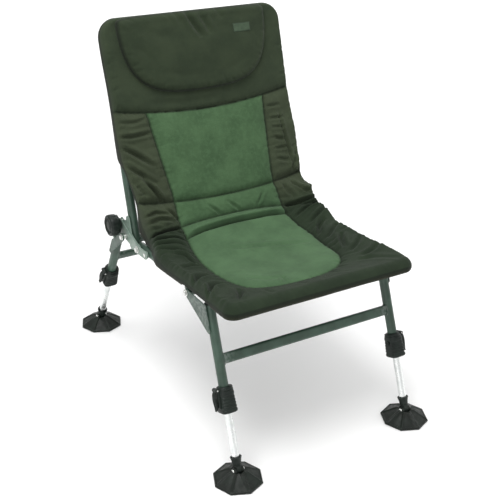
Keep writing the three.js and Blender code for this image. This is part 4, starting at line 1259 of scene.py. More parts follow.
# ------------------------------------------------------------------------ cover
def vnoise(x, y, size, seed):
    """Smooth seeded noise, about -1 to 1."""
    table = np.random.default_rng(seed).random((64, 64)) * 2 - 1
    u, v = np.asarray(x) / size + 17.3, np.asarray(y) / size + 9.1
    i, j = np.floor(u).astype(int), np.floor(v).astype(int)
    a, b = u - i, v - j
    a, b = a * a * a * (a * (6 * a - 15) + 10), b * b * b * (b * (6 * b - 15) + 10)
    g = lambda p, q: table[p % 64, q % 64]
    return (g(i, j) * (1 - a) + g(i + 1, j) * a) * (1 - b) + (g(i, j + 1) * (1 - a) + g(i + 1, j + 1) * a) * b


def smooth(t):
    t = np.clip(t, 0, 1)
    return t * t * (3 - 2 * t)


def knots(x, pairs):
    """Smooth curve through (x, value) pairs, flat beyond the ends (monotone cubic)."""
    px, py = np.array([p[0] for p in pairs], float), np.array([p[1] for p in pairs], float)
    h, d = np.diff(px), np.diff(py) / np.diff(px)
    m = np.zeros(len(px))
    for i in range(1, len(px) - 1):
        if d[i - 1] * d[i] > 0:
            w1, w2 = 2 * h[i] + h[i - 1], h[i] + 2 * h[i - 1]
            m[i] = (w1 + w2) / (w1 / d[i - 1] + w2 / d[i])
    x = np.clip(np.asarray(x, float), px[0], px[-1])
    i = np.clip(np.searchsorted(px, x, side="right") - 1, 0, len(px) - 2)
    t = (x - px[i]) / h[i]
    return ((2 * t ** 3 - 3 * t ** 2 + 1) * py[i] + (t ** 3 - 2 * t ** 2 + t) * h[i] * m[i]
            + (-2 * t ** 3 + 3 * t ** 2) * py[i + 1] + (t ** 3 - t ** 2) * h[i] * m[i + 1])


def line_distance(X, S, pts):
    """Distance from each (x, s) to a line, and how far along it (0 to 1)."""
    P = np.stack([X.ravel(), S.ravel()], 1)
    pts = np.array(pts, float)
    d = pts[1:] - pts[:-1]
    L = np.hypot(*d.T)
    start = np.concatenate([[0], np.cumsum(L)])
    best = np.full(len(P), 1e18)
    at = np.zeros(len(P))
    for k in range(len(d)):
        rel = P - pts[k]
        t = np.clip(rel @ d[k] / max(L[k] ** 2, 1e-12), 0, 1)
        e = rel - t[:, None] * d[k]
        q = (e ** 2).sum(1)
        hit = q < best
        best[hit] = q[hit]
        at[hit] = start[k] + t[hit] * L[k]
    return np.sqrt(best).reshape(X.shape), (at / start[-1]).reshape(X.shape)


# The cover is laid out flat as (x, s): s runs from the front edge over the
# seat, up over the gap in front of the back tubes, and up the back.
P_FRONT = -363.6
U_TOP = 543.0
RF, RT_ = 27.0, 45.0          # corner radii at the front and at the top


def seat_pt(p, v):
    return SEAT0 + p * D1 + v * N1


def _base_samples():
    front = [(P_FRONT, 18), (-300, 18), (-200, 18), (-120, 18), (-60, 18.3), (-25, 20.5), (5, 26.5), (25, 37), (41, 51)]
    rear = [(63, 82), (95, 71.5), (120, 64), (170, 53), (232, 42.5), (272, 37), (311, 32), (370, 26.5), (420, 22), (480, 19), (U_TOP, 18)]
    pts = np.array([seat_pt(*q) for q in front] + [np.array(back_pt(41.2 - v, u)) for u, v in rear])
    L = np.concatenate([[0], np.cumsum(np.hypot(*np.diff(pts, axis=0).T))])
    q = np.arange(-60, L[-1] + 60, 1.0)
    c = np.stack([np.interp(q, L, pts[:, k]) + np.minimum(q, 0) * D1[k] + np.maximum(q - L[-1], 0) * U2[k] for k in (0, 1)], 1)
    g = np.exp(-0.5 * (np.arange(-42, 43) / 13.0) ** 2)
    g /= g.sum()
    c = np.stack([np.convolve(c[:, k], g, "valid") for k in (0, 1)], 1)
    q = q[42:-42]
    t = np.gradient(c, axis=0)
    t /= np.hypot(*t.T)[:, None]
    n = np.stack([-t[:, 1], t[:, 0]], 1)
    b = c - 18.0 * n
    keep = (q >= 0) & (q <= L[-1])
    b, n = b[keep], n[keep]
    s = np.concatenate([[0], np.cumsum(np.hypot(*np.diff(b, axis=0).T))])
    return s, b, n


BASE_S, BASE_P, BASE_N = _base_samples()
S_ALL = float(BASE_S[-1])
BASE_U = (BASE_P - np.array(P1)) @ U2
BASE_VB = (BASE_P - BACK0) @ N2          # height over the back tubes' plane
BASE_VS = (BASE_P - SEAT0) @ N1          # height over the seat rails' plane


def s_y(y):
    return np.interp(np.asarray(y, float), BASE_P[:, 0], BASE_S)


def s_u(u):
    return np.interp(np.asarray(u, float), BASE_U, BASE_S)


def s_top(y, z):
    """s where the cover's face passes nearest to (y, z)."""
    return float(BASE_S[np.argmin(np.hypot(*(BASE_P + 18 * BASE_N - np.array([y, z])).T))])


def base_line(s):
    """(y, z) and outward normal of the cover's middle line at s."""
    s = np.asarray(s, float)
    P = np.stack([np.interp(s, BASE_S, BASE_P[:, k]) for k in (0, 1)], -1)
    n = np.stack([np.interp(s, BASE_S, BASE_N[:, k]) for k in (0, 1)], -1)
    return P, n / np.hypot(n[..., 0], n[..., 1])[..., None]


S_CREASE, S_3, S_2 = s_top(31, 400), s_top(50, 420), s_top(76, 461)
S_MID = 0.5 * (S_3 + S_2)


def half_width(s, right=False):
    strip, seam3, foot = (236.5, 233.0, 237.4) if right else (231.5, 229.5, 236.5)
    w = knots(s, [(0, 242.5), (s_y(-18), 242.5), (s_y(10), foot), (S_3 - 8, seam3), (S_MID, strip), (S_2 + 12, 229.0), (s_u(128), 231.0), (s_u(150), 234),
                  (s_u(180), 238.5), (s_u(206), 241.8), (s_u(222), 242.8), (S_ALL, 242.8)])
    w = w - 2.6 * np.sin(math.pi * np.clip((s - 40) / (s_y(-18) - 40), 0, 1)) ** 2
    w = w - 2.6 * np.sin(math.pi * np.clip((s - s_u(225)) / (s_u(480) - s_u(225)), 0, 1)) ** 2
    w = np.where(s < RF, np.minimum(w, 242.5 - RF + np.sqrt(np.maximum(RF ** 2 - (RF - s) ** 2, 0))), w)
    e = S_ALL - s
    return np.where(e < RT_, np.minimum(w, 242.8 - RT_ + np.sqrt(np.maximum(RT_ ** 2 - (RT_ - e) ** 2, 0))), w)


def side_width(S, X):
    return np.where(X > 0, half_width(S, True), half_width(S, False))


def edge_distance(X, S):
    w = side_width(S, X)
    dw = side_width(S + 0.5, X) - side_width(S - 0.5, X)
    q = (w - np.abs(X)) / np.sqrt(1 + np.clip(dw, -3, 3) ** 2)
    for r, e in ((RF, S), (RT_, S_ALL - S)):
        ax = np.abs(X) - (242.5 - r)
        corner = r - np.hypot(np.maximum(ax, 0), np.maximum(r - e, 0))
        q = np.where(e < r, np.where(ax > 0, np.minimum(q, corner), np.minimum(q, e)), q)
    # both ends of the sheet are edges too, further in than the corner radius
    return np.maximum(np.minimum(q, np.minimum(S, S_ALL - S)), 0)


def s1_line(x):
    return s_u(304 + 23 * (np.asarray(x, float) / 235) ** 2)


def crease_line(x):
    x = np.asarray(x, float)
    return S_CREASE - np.where(x > 0, 2.6e-4, 8.6e-4) * x ** 2


def seams():
    x = np.linspace(-243, 243, 61)
    out = {
        "s1": np.stack([x, s1_line(x)], 1),
        "s2": np.stack([x, S_2 + 22 * np.abs(x / 230) ** 2.2], 1),
        "s3": np.stack([x, S_3 - 3.8e-4 * x ** 2 - 26 * smooth((x - 140) / 96)], 1),
    }
    xc = np.linspace(-143, 143, 31)
    out["crease"] = np.stack([xc, crease_line(xc)], 1)
    half = [(163, float(s1_line(163))), (160, float(s_u(304))), (156.5, float(s_u(270))), (152.5, float(s_u(230))), (146, float(s_u(168))), (141, float(s_u(120))),
            (140.5, S_2), (143.5, S_MID), (142.5, S_3 - 8), (143, S_CREASE - 14), (147, float(s_y(0))), (152, float(s_y(-43))), (154, float(s_y(-78))),
            (152.5, float(s_y(-124))), (149.5, float(s_y(-165)))]
    front = []
    for k in range(1, 21):
        t = math.pi / 2 * k / 20
        front.append((149 * max(math.cos(t), 0) ** 0.8, float(s_y(-165 - 102 * math.sin(t) ** 0.8))))
    right = half + front
    out["right_half"] = np.array(right)
    out["panel"] = np.array([(a, b) for a, b in right] + [(-a, b) for a, b in reversed(right[:-1])])
    return out


def cover_rows():
    """Row positions along s, close together at both ends and in the bend."""
    front = RF * (1 - np.cos(np.linspace(0, math.pi / 2, 22)))
    top = S_ALL - RT_ * (1 - np.cos(np.linspace(0, math.pi / 2, 28)))[::-1]
    mid = np.linspace(RF, S_ALL - RT_, int((S_ALL - RF - RT_) / 2.6))
    return np.unique(np.concatenate([front, mid[1:-1], top]))


def cover_columns():
    e = np.array([0, 0.1, 0.4, 0.9, 1.6, 2.5, 3.6, 4.9, 6.4, 8.2, 10.4, 13.0])
    inner = np.linspace(0, 242.5 - 13.0, 86)
    half = np.concatenate([inner, 242.5 - e[::-1][1:]])
    return np.concatenate([-half[::-1][:-1], half]) / 242.5


def sag_top(S):
    return knots(S, [(0, 0), (s_y(-346), 0), (s_y(-322), 6), (s_y(-296), 16), (s_y(-268), 24), (s_y(-235), 28.5), (s_y(-150), 30), (s_y(-108), 26), (s_y(-75), 19),
                     (s_y(-43), 11), (s_y(-5), 3), (s_y(22), 0), (S_2, 0), (s_u(200), 0), (s_u(306), 3.5), (s_u(430), 5), (s_u(515), 4), (S_ALL, 0)])


def across(X, half=228.0, power=0.8):
    return np.clip(1 - (X / half) ** 2, 0, 1) ** power


def dent(field, X, S, pts, depth, width, ridge=0.35):
    """A fold pressed into the cloth along a line, with soft ridges beside it."""
    pts = np.array(pts, float)
    lo, hi = pts.min(0) - 5 * width, pts.max(0) + 5 * width
    near = (X > lo[0]) & (X < hi[0]) & (S > lo[1]) & (S < hi[1])
    if not near.any():
        return
    d, t = line_distance(X[near], S[near], pts)
    taper = np.sin(math.pi * np.clip(t, 0, 1)) ** 0.6
    field[near] += depth * taper * (ridge * np.exp(-((d - 2.0 * width) / (1.1 * width)) ** 2) - np.exp(-(d / width) ** 2))


def cover_folds():
    """(line in (x, s), depth, width) of the folds the cover hangs in."""
    def U(pts):
        return [(x, float(s_u(u))) for x, u in pts]

    def Y(pts):
        return [(x, float(s_y(y))) for x, y in pts]

    def M(pts):      # in the bend: 0 at the crease, 1 at the lumbar seam
        return [(x, S_CREASE + k * (S_2 - S_CREASE)) for x, k in pts]
    return [
        # pulled from the pocket mouths to the lumbar seam, left and right
        (U([(-244, 268), (-213, 264), (-160, 266)]), 4.6, 5), (U([(-246, 246), (-213, 224), (-166, 184)]), 5.6, 6),
        (U([(-246, 206), (-213, 178), (-174, 142)]), 5.0, 6), (U([(-206, 164), (-188, 135), (-170, 98)]), 8.0, 5),
        (U([(-232, 168), (-219, 140), (-205, 118)]), 3.2, 5), (U([(-236, 300), (-200, 296), (-168, 300)]), 3.0, 5),
        (U([(196, 270), (201, 205), (206, 145), (207, 104)]), 3.8, 4), (U([(164, 283), (205, 284)]), 2.4, 4), (U([(167, 252), (210, 251)]), 2.6, 4),
        (U([(165, 230), (208, 226)]), 2.2, 4), (U([(166, 203), (200, 194)]), 3.4, 5), (U([(162, 176), (205, 174)]), 2.4, 4), (U([(160, 150), (198, 140)]), 3.0, 5),
        (U([(226, 160), (214, 132), (200, 112)]), 3.4, 5),
        # the strip between the lumbar seam and the crease
        (M([(-226, 0.80), (-196, 0.86), (-160, 0.70)]), 4.2, 5), (M([(-230, 0.55), (-194, 0.62), (-158, 0.50)]), 3.6, 5), (M([(-170, 0.95), (-156, 0.75), (-145, 0.50)]), 4.0, 4),
        (M([(188, 0.98), (200, 0.66), (214, 0.36)]), 6.0, 5), (M([(163, 0.98), (169, 0.68), (176, 0.36)]), 4.6, 5), (M([(226, 0.86), (222, 0.6), (226, 0.4)]), 3.0, 4),
        (M([(-62, 0.80), (-51, 0.64), (-34, 0.40)]), 3.0, 4), (M([(-8, 0.80), (6, 0.60), (22, 0.36)]), 3.0, 4), (M([(96, 0.82), (84, 0.62), (72, 0.45)]), 2.0, 4),
        (M([(-224, 0.10), (-182, 0.16), (-142, 0.24)]), 6.0, 5), (Y([(-238, 30), (-196, 24), (-150, 14)]), 6.0, 5), (Y([(-240, 12), (-200, 2), (-156, -10)]), 5.0, 5),
        (Y([(-240, -6), (-206, -22), (-168, -34)]), 4.6, 5), (M([(228, 0.06), (196, 0.14), (150, 0.20)]), 5.6, 5), (Y([(240, 26), (200, 22), (154, 8)]), 4.6, 5),
        # seat sides
        (Y([(-205, -38), (-180, -52), (-176, -92)]), 4.4, 5), (Y([(-222, -112), (-186, -100), (-162, -100)]), 4.2, 6), (Y([(-240, -205), (-216, -178), (-178, -154)]), 5.6, 6),
        (Y([(-242, -276), (-210, -230), (-172, -206)]), 6.4, 6), (Y([(-198, -325), (-176, -294), (-155, -250)]), 5.2, 7), (Y([(-120, -340), (-116, -306), (-108, -276)]), 2.6, 7),
        (Y([(240, -4), (204, -22), (170, -34)]), 4.6, 5), (Y([(214, -40), (188, -56), (166, -84)]), 5.6, 6), (Y([(236, -70), (206, -92), (172, -116)]), 3.4, 6),
        (Y([(205, -124), (186, -152), (170, -186)]), 5.0, 6), (Y([(228, -170), (200, -196), (168, -214)]), 3.6, 6), (Y([(150, -262), (182, -288), (216, -340)]), 2.8, 8),
        (Y([(236, -236), (206, -252), (166, -256)]), 2.6, 7), (Y([(60, -276), (74, -306), (80, -336)]), 1.8, 7), (Y([(-30, -280), (-34, -310), (-40, -338)]), 1.6, 7),
        # slack across the seat panel
        (Y([(-70, -58), (36, -78), (128, -108)]), 2.4, 6), (Y([(-30, -228), (-38, -258)]), 1.8, 5), (Y([(-110, -196), (-70, -226), (-20, -240)]), 1.2, 8),
        (U([(-66, 470), (-55, 505), (-50, 540)]), 1.6, 6), (U([(-150, 335), (-60, 326), (40, 328)]), 1.4, 8),
    ]


def gathers(T, X, S, sm):
    """Small puckers along the seams and the outline."""
    g = np.random.default_rng(11)
    ring = sm["panel"]
    seg = np.diff(ring, axis=0)
    length = np.concatenate([[0], np.cumsum(np.hypot(*seg.T))])
    place = 0.0
    while place < length[-1]:
        k = min(int(np.searchsorted(length, place, side="right") - 1), len(seg) - 1)
        c = ring[k] + seg[k] * (place - length[k]) / (length[k + 1] - length[k])
        tang = seg[k] / np.linalg.norm(seg[k])
        nrm = np.array([-tang[1], tang[0]])
        mid = np.array([0.0, float(s_y(-140))]) if c[1] < s_y(0) else np.array([0.0, c[1]])
        if np.dot(nrm, c - mid) < 0:
            nrm = -nrm
        dirn = nrm + (g.random() - 0.5) * 0.8 * tang
        out_, in_ = 14 + 30 * g.random(), 6 + 12 * g.random()
        strength = (1.0 + 1.8 * g.random()) * (1.0 if c[1] < S_2 else 0.6)
        pts = [c - dirn * in_, c, c + dirn * out_ * 0.5 + tang * 2 * (g.random() - 0.5), c + dirn * out_]
        dent(T, X, S, pts, strength, 2.6 + 2.0 * g.random(), 0.3)
        place += 13 + 20 * g.random()
    for side in (-1, 1):
        s = 34.0
        while s < S_ALL - 60:
            w = float(half_width(np.array(s), side > 0))
            bend = math.exp(-((s - S_3) / 60) ** 2)
            L = (10 + 20 * g.random()) * (1 + 0.8 * bend)
            tilt = (g.random() - 0.5) * 18
            pts = [(side * (w + 1), s), (side * (w - L * 0.5), s + tilt * 0.5), (side * (w - L), s + tilt)]
            dent(T, X, S, pts, (0.8 + 1.3 * g.random()) * (1 + 1.4 * bend), 2.8 + 2 * g.random(), 0.3)
            s += (15 + 24 * g.random()) * (1 - 0.45 * bend)
    x = -210.0
    while x < 215:
        L = 10 + 18 * g.random()
        dent(T, X, S, [(x, -1), (x + 6 * (g.random() - 0.5), L * 0.5), (x + 10 * (g.random() - 0.5), L)], 0.5 + 0.8 * g.random(), 3.0 + 2 * g.random(), 0.3)
        x += 18 + 26 * g.random()
    for line, step in (("s1", 15), ("s2", 11), ("s3", 11)):
        pts_ = sm[line]
        x = -225.0
        while x < 228:
            s0 = float(np.interp(x, pts_[:, 0], pts_[:, 1]))
            for way in (-1, 1):
                L = 7 + 14 * g.random()
                if abs(x) < 150:
                    L *= 0.7
                lean = 6 * (g.random() - 0.5)
                amp = 0.5 + (1.2 if abs(x) > 150 else 0.5) * g.random()
                dent(T, X, S, [(x, s0), (x + lean, s0 + way * L)], amp, 2.2 + 1.6 * g.random(), 0.3)
            x += step * (0.7 + g.random())


def cover_fields(X, S):
    """Heights of the face and underside over the base line, and the zones."""
    sm = seams()
    q = edge_distance(X, S)
    ax = np.abs(X)
    d = {k: line_distance(X, S, v)[0] for k, v in sm.items() if k != "right_half"}
    rh = sm["right_half"]
    s1 = s1_line(X)
    half = np.interp(S, rh[::-1, 1], rh[::-1, 0], left=0)
    inside = (ax < half) & (S < s1)
    panel = np.where(inside, d["panel"], -d["panel"])
    T = 18.5 - sag_top(S) * across(X)
    # the sides fall back to the pockets up the back, and puff up in the bend
    fall = knots(S, [(S_2, 5), (s_u(120), 3), (s_u(165), 7), (s_u(215), 9), (s_u(265), 8), (s_u(330), 5), (s_u(430), 1), (S_ALL, 0)]) * (S > S_2 - 20)
    T = T - fall * smooth((ax - 140) / 90)
    puff = knots(S, [(s_y(-70), 0), (s_y(-30), 5), (s_y(8), 9), (S_3, 12), (S_MID, 9), (S_2 - 8, 2), (S_2 + 14, 0)])
    T = T + puff * smooth((ax - 146) / 44)
    hump = knots(S, [(s_y(-60), 0), (s_y(-20), 8), (s_y(10), 13), (S_3, 15), (S_MID, 13), (S_2 - 10, 6), (S_2 + 6, 0)])
    T = T + hump * smooth((X - 168) / 52)
    # quilting: each field crowns between its seams
    below = S < s1
    seam_side = np.minimum(d["s1"], np.where(below, np.minimum(d["s2"], np.minimum(d["s3"], d["panel"])), 1e9))
    T = T + (7.5 * (1 - np.exp(-seam_side / 13.0)) - 6.0) * smooth(q / 12)
    T = T - 3.0 * np.exp(-seam_side / 2.4) * smooth(q / 5)
    deep = np.exp(-(d["s2"] / 9) ** 2) * 6.4 + np.exp(-(d["s3"] / 8) ** 2) * 5.0 + np.exp(-(d["s1"] / 8) ** 2) * 2.4
    T = T - deep * (0.5 + 0.9 * smooth((ax - 140) / 60)) * smooth(q / 8)
    dc = d["crease"]
    T = T - (5.0 * np.exp(-(dc / 8.0) ** 2) + 12.5 * np.exp(-(dc / 4.0) ** 1.5)) * smooth((q - 4) / 30) * (0.35 + 0.65 * smooth((150 - ax) / 50))
    T = T + 6.0 * np.exp(-((dc - 12.5) / 6.5) ** 2) * (S > crease_line(X)) * smooth((156 - ax) / 46)
    T = T + 3.2 * smooth(panel / 55) * below
    # broad unevenness, then small creep of the cloth
    T = T + 1.7 * vnoise(X, S, 95, 3) + 1.0 * vnoise(X, S, 42, 4) + 0.4 * vnoise(X, S, 17, 5)
    T = T + (1.0 * vnoise(X, S, 24, 6) + 0.6 * vnoise(X * 0.5, S, 10, 7)) * smooth((ax - 150) / 30) * np.exp(-((S - S_3) / 110) ** 2)
    for pts, depth, width in cover_folds():
        dent(T, X, S, pts, 1.85 * depth, 0.85 * width, 0.5)
    gathers(T, X, S, sm)
    # the puckers fade out before the front corner on the right and the front edge
    calm = smooth((s_y(-255) - S) / 40) * smooth((X + 150) / 60)
    plain = 18.5 - sag_top(S) * across(X) + 1.2 * vnoise(X, S, 95, 3) + 0.6 * vnoise(X, S, 42, 4)
    T = T + 0.6 * calm * (plain - T) * smooth((d["panel"] - 10) / 14)

    # underside, in the base line's own heights
    vb, vs = np.interp(S, BASE_S, BASE_VB), np.interp(S, BASE_S, BASE_VS)
    _, n = base_line(S)
    cb = n[..., 0] * N2[0] + n[..., 1] * N2[1]
    cs = n[..., 0] * N1[0] + n[..., 1] * N1[1]
    inner = -7.5 - 0.60 * sag_top(S) * across(X, 200, 0.8)
    lug = smooth((S - s_y(-282)) / 10) * smooth((s_y(-134) - S) / 10)
    seat_wrap = -12.6 + 4.9 * lug
    on_seat = smooth((s_y(22) - S) / 7)
    on_back = smooth((S - s_u(178)) / 48)
    near_rail = smooth((ax - 200) / 10)
    near_rail = np.maximum(near_rail, smooth((s_y(-326) - S) / 10))
    near_rail = np.maximum(near_rail, smooth((S - s_u(500)) / 10))
    seat_B = inner * (1 - near_rail) + (seat_wrap - vs) * near_rail
    back_B = inner * (1 - near_rail) + (-12.6 - vb) * near_rail
    # between the pockets: the side walls hang towards the hinge
    wall = knots(S, [(s_y(20), -7), (S_CREASE, -24), (S_3, -36), (0.5 * (S_3 + S_MID), -42), (S_MID, -34), (S_2, -21), (s_u(125), -13), (s_u(165), -11), (s_u(200), -9)])
    mid_B = -7.5 + (wall + 7.5) * smooth((ax - 188) / 26)
    clear_seat = (12.2 - vs) / np.maximum(cs, 0.2)
    clear_back = (12.4 - vb) / np.maximum(cb, 0.2)
    over_rail = smooth((ax - 209) / 4)
    cross = smooth((S - s_y(38)) / 8) * smooth((S_2 - S) / 14)
    lowest = np.where(over_rail > 0, np.maximum(clear_seat, clear_back), -99) * over_rail + -99 * (1 - over_rail)
    mid_B = np.maximum(mid_B, np.minimum(lowest, 8.0))
    mid_B = np.maximum(mid_B, np.minimum((10.5 - vs) / np.maximum(cs, 0.2), 6.0) * cross - 40 * (1 - cross))
    B = seat_B * on_seat + back_B * on_back + mid_B * np.clip(1 - on_seat - on_back, 0, 1)
    B = B + 0.5 * vnoise(X, S, 60, 21) + 0.25 * vnoise(X, S, 22, 22)
    T = np.maximum(T, B + 3.0 + 4.0 * smooth(q / 10))
    # the sewn edge: the face turns over a small radius on to a narrow side
    bend = np.exp(-((S - S_3) / 46) ** 2)
    r_top, r_low = 8.5 + 7.0 * bend + 13.0 * smooth((70 - S) / 50) + 5.0 * smooth((s_y(-20) - S) / 60) * smooth((S - 20) / 50), 6.5
    f_top = np.sqrt(np.clip(1 - (1 - np.clip(q / r_top, 0, 1)) ** 2, 0, 1))
    f_low = np.sqrt(np.clip(1 - (1 - np.clip(q / r_low, 0, 1)) ** 2, 0, 1))
    v_edge = knots(S, [(0, -1.5), (s_y(-60), -1.0), (s_y(-40), 0), (s_y(0), 3), (s_y(20), 0), (S_CREASE, -7), (S_3, -13), (S_MID, -15), (S_2, -12), (s_u(120), -4), (s_u(165), -4), (s_u(215), -8), (s_u(265), -10), (s_u(330), -9), (s_u(430), -3), (S_ALL, 0)])
    k = smooth(q / 20)
    v_mid = v_edge * (1 - k) + (0.42 * T + 0.58 * B) * k
    top = v_mid + (T - v_mid) * f_top
    low = v_mid + (B - v_mid) * f_low
    zones = {
        "panel": panel,
        "above": S - s1,
        # distance to the seams and the crease, which places the painted shade in them
        "seam": np.minimum(seam_side, 0.75 * dc + 0.3),
        "edge": q,
        # 1 on the seat, 0 on the back: steers the painted light and shade of the cloth's seat and back copies
        "onseat": np.clip((S_3 - S) / 60 + 0.5, 0, 1),
    }
    return top, low, zones


def place_on(X, S, V):
    P, n = base_line(S)
    Y = P[..., 0] + V * n[..., 0]
    Z = P[..., 1] + V * n[..., 1]
    return np.stack([X, Y, Z], -1)


def grid_mesh(name, top, low, extra, cloth):
    """A closed body of a top and an under sheet that share their outline.
    extra: {name: (top values, under values)}, cloth: (x, s) layout in mm."""
    m, n = top.shape[:2]
    ti = np.arange(m * n).reshape(m, n)
    inner = np.zeros((m, n), bool)
    inner[1:-1, 1:-1] = True
    li = ti.copy()
    li[inner] = m * n + np.arange(inner.sum())
    verts = np.concatenate([top.reshape(-1, 3), low[inner]])
    a, b, c, d = ti[:-1, :-1], ti[:-1, 1:], ti[1:, 1:], ti[1:, :-1]
    f1 = np.stack([a, b, c, d], -1).reshape(-1, 4)
    a, b, c, d = li[:-1, :-1], li[1:, :-1], li[1:, 1:], li[:-1, 1:]
    f2 = np.stack([a, b, c, d], -1).reshape(-1, 4)
    faces = np.concatenate([f1, f2])
    mesh = bpy.data.meshes.new(name)
    mesh.vertices.add(len(verts))
    mesh.vertices.foreach_set("co", (verts * MM).astype(np.float32).ravel())
    mesh.loops.add(len(faces) * 4)
    mesh.loops.foreach_set("vertex_index", faces.astype(np.int32).ravel())
    mesh.polygons.add(len(faces))
    mesh.polygons.foreach_set("loop_start", np.arange(0, len(faces) * 4, 4, dtype=np.int32))
    mesh.update(calc_edges=True)
    mesh.validate()
    mesh.shade_smooth()
    for k, (tv, lv) in extra.items():
        at = mesh.attributes.new(k, "FLOAT", "POINT")
        at.data.foreach_set("value", np.concatenate([tv.ravel(), lv[inner]]).astype(np.float32))
    at = mesh.attributes.new("cloth", "FLOAT_VECTOR", "POINT")
    ct = np.concatenate([np.stack([cloth[0], cloth[1], np.zeros_like(cloth[0])], -1).reshape(-1, 3),
                         np.stack([cloth[0], cloth[1], np.full_like(cloth[0], 40.0)], -1)[inner]])
    at.data.foreach_set("vector", ct.astype(np.float32).ravel())
    obj = bpy.data.objects.new(name, mesh)
    bpy.context.scene.collection.objects.link(obj)
    return obj


def fabric_nodes(name):
    n = Nodes(name)
    return n, n.coords("cloth")


def weave_height(n, p, pitch):
    """Plain weave: alternating over-and-under threads `pitch` mm apart."""
    k = 2 * math.pi / pitch
    x, y = n.axis(p, 0), n.axis(p, 1)
    sx = n.math("SINE", n.math("MULTIPLY", x, k))
    sy = n.math("SINE", n.math("MULTIPLY", y, k))
    return n.math("MULTIPLY", sx, sy)


def cover_material():
    n, p = fabric_nodes("quilted_cover_cloth")
    panel, above, seam, edge, under = (n.attr(k) for k in ("panel", "above", "seam", "edge", "under"))
    blotch = n.noise(p, 70, 3, 0.55)
    mottle = n.noise(p, 11, 3, 0.6)
    fleck = n.noise(p, 2.2, 2, 0.6)
    # centre: short-pile green cloth, painted lighter on the seat than on the back as painted light where the seat faces
    # up to the lamps
    onseat = n.attr("onseat")
    green = n.mix(n.ramp(blotch, 0.32, 0.70), rgb(55, 78, 52), rgb(66, 91, 62))
    green_seat_painted_light = n.mix(n.ramp(blotch, 0.32, 0.70), rgb(64, 88, 62), rgb(75, 102, 72))
    green = n.mix(onseat, green, green_seat_painted_light)
    green = n.mix(n.ramp(mottle, 0.40, 0.70, 0, 0.35), green, rgb(76, 103, 73))
    green = n.mix(n.ramp(fleck, 0.45, 0.75, 0, 0.30), green, rgb(45, 66, 46))
    # sides: woven olive, painted darker on the seat than on the back as painted shade; the part above the seam is
    # greyer
    side = n.mix(n.ramp(blotch, 0.30, 0.72), rgb(50, 58, 42), rgb(60, 69, 51))
    side = n.mix(n.ramp(mottle, 0.45, 0.75, 0, 0.30), side, rgb(69, 77, 58))
    olive_seat_painted_shade = n.mix(n.ramp(blotch, 0.30, 0.72), rgb(32, 43, 30), rgb(39, 51, 36))
    olive_seat_painted_shade = n.mix(n.ramp(mottle, 0.45, 0.75, 0, 0.30), olive_seat_painted_shade, rgb(41, 52, 37))
    side = n.mix(onseat, side, olive_seat_painted_shade)
    head = n.mix(n.ramp(blotch, 0.30, 0.72), rgb(43, 53, 38), rgb(51, 61, 44))
    head = n.mix(n.ramp(mottle, 0.45, 0.75, 0, 0.25), head, rgb(60, 69, 52))
    weave = weave_height(n, p, 3.2)
    cloth = n.mix(n.ramp(above, -0.5, 0.5), side, head)
    cloth = n.mix(n.ramp(weave, -0.6, 0.9, 0.0, 0.34), cloth, rgb(27, 31, 23))
    is_green = n.math("MULTIPLY", n.ramp(panel, -0.4, 0.4), n.ramp(above, 0.4, -0.4, 0, 1))
    col = n.mix(is_green, cloth, green)
    hem = n.math("MULTIPLY", n.ramp(edge, 15.5, 14.5), n.ramp(under, 0.36, 0.5))
    col = n.mix(hem, col, rgb(40, 44, 32))
    back = n.mix(n.ramp(mottle, 0.3, 0.7), rgb(34, 37, 32), rgb(44, 48, 41))
    col = n.mix(n.math("MULTIPLY", n.ramp(under, 0.5, 0.6), n.ramp(edge, 14.5, 15.5)), col, back)
    # painted shade: the cloth is darkened in the seam grooves and along the crease
    seam_painted_shade = n.ramp(seam, 0.4, 4.6, 1, 0)
    col = n.mix(n.math("MULTIPLY", seam_painted_shade, 0.66), col, rgb(22, 30, 20))
    piping = n.math("MULTIPLY", n.ramp(edge, 0.9, 0.3), n.ramp(edge, -0.1, 0.02))
    col = n.mix(n.math("MULTIPLY", piping, 0.6), col, rgb(20, 24, 18))
    pile = n.noise(p, 1.3, 2, 0.65)
    h = n.mix(is_green, weave, pile)
    b = n.bump(n.math("ADD", h, n.math("MULTIPLY", n.noise(p, 9, 3, 0.6), 1.2)), 0.45, 0.35)
    n.set(Base_Color=col, Roughness=n.ramp(mottle, 0.3, 0.7, 0.84, 0.94), Normal=b)
    n.bsdf.inputs["Specular IOR Level"].default_value = 0.14
    n.bsdf.inputs["Sheen Weight"].default_value = 0.05
    n.bsdf.inputs["Sheen Roughness"].default_value = 0.5
    return n.mat


def pillow_material():
    n, p = fabric_nodes("headrest_cloth")
    seam = n.attr("seam")
    blotch, mottle = n.noise(p, 70, 3, 0.55), n.noise(p, 11, 3, 0.6)
    col = n.mix(n.ramp(blotch, 0.30, 0.72), rgb(40, 50, 35), rgb(48, 58, 41))
    col = n.mix(n.ramp(mottle, 0.45, 0.75, 0, 0.25), col, rgb(57, 67, 49))
    weave = weave_height(n, p, 3.2)
    col = n.mix(n.ramp(weave, -0.6, 0.9, 0.0, 0.34), col, rgb(27, 31, 23))
    # painted shadow: the cloth is darkened towards the pillow's edge, where it overhangs
    col = n.mix(n.math("MULTIPLY", n.ramp(seam, 1.0, 6.5, 1, 0), 0.62), col, rgb(20, 25, 18))
    b = n.bump(n.math("ADD", weave, n.math("MULTIPLY", n.noise(p, 9, 3, 0.6), 1.2)), 0.45, 0.35)
    n.set(Base_Color=col, Roughness=n.ramp(mottle, 0.3, 0.7, 0.84, 0.94), Normal=b)
    n.bsdf.inputs["Specular IOR Level"].default_value = 0.14
    n.bsdf.inputs["Sheen Weight"].default_value = 0.05
    n.bsdf.inputs["Sheen Roughness"].default_value = 0.5
    return n.mat


COVER = {}


def face_tree(obj):
    bm = bmesh.new()
    bm.from_mesh(obj.data)
    tree = BVHTree.FromBMesh(bm)
    bm.free()
    return tree


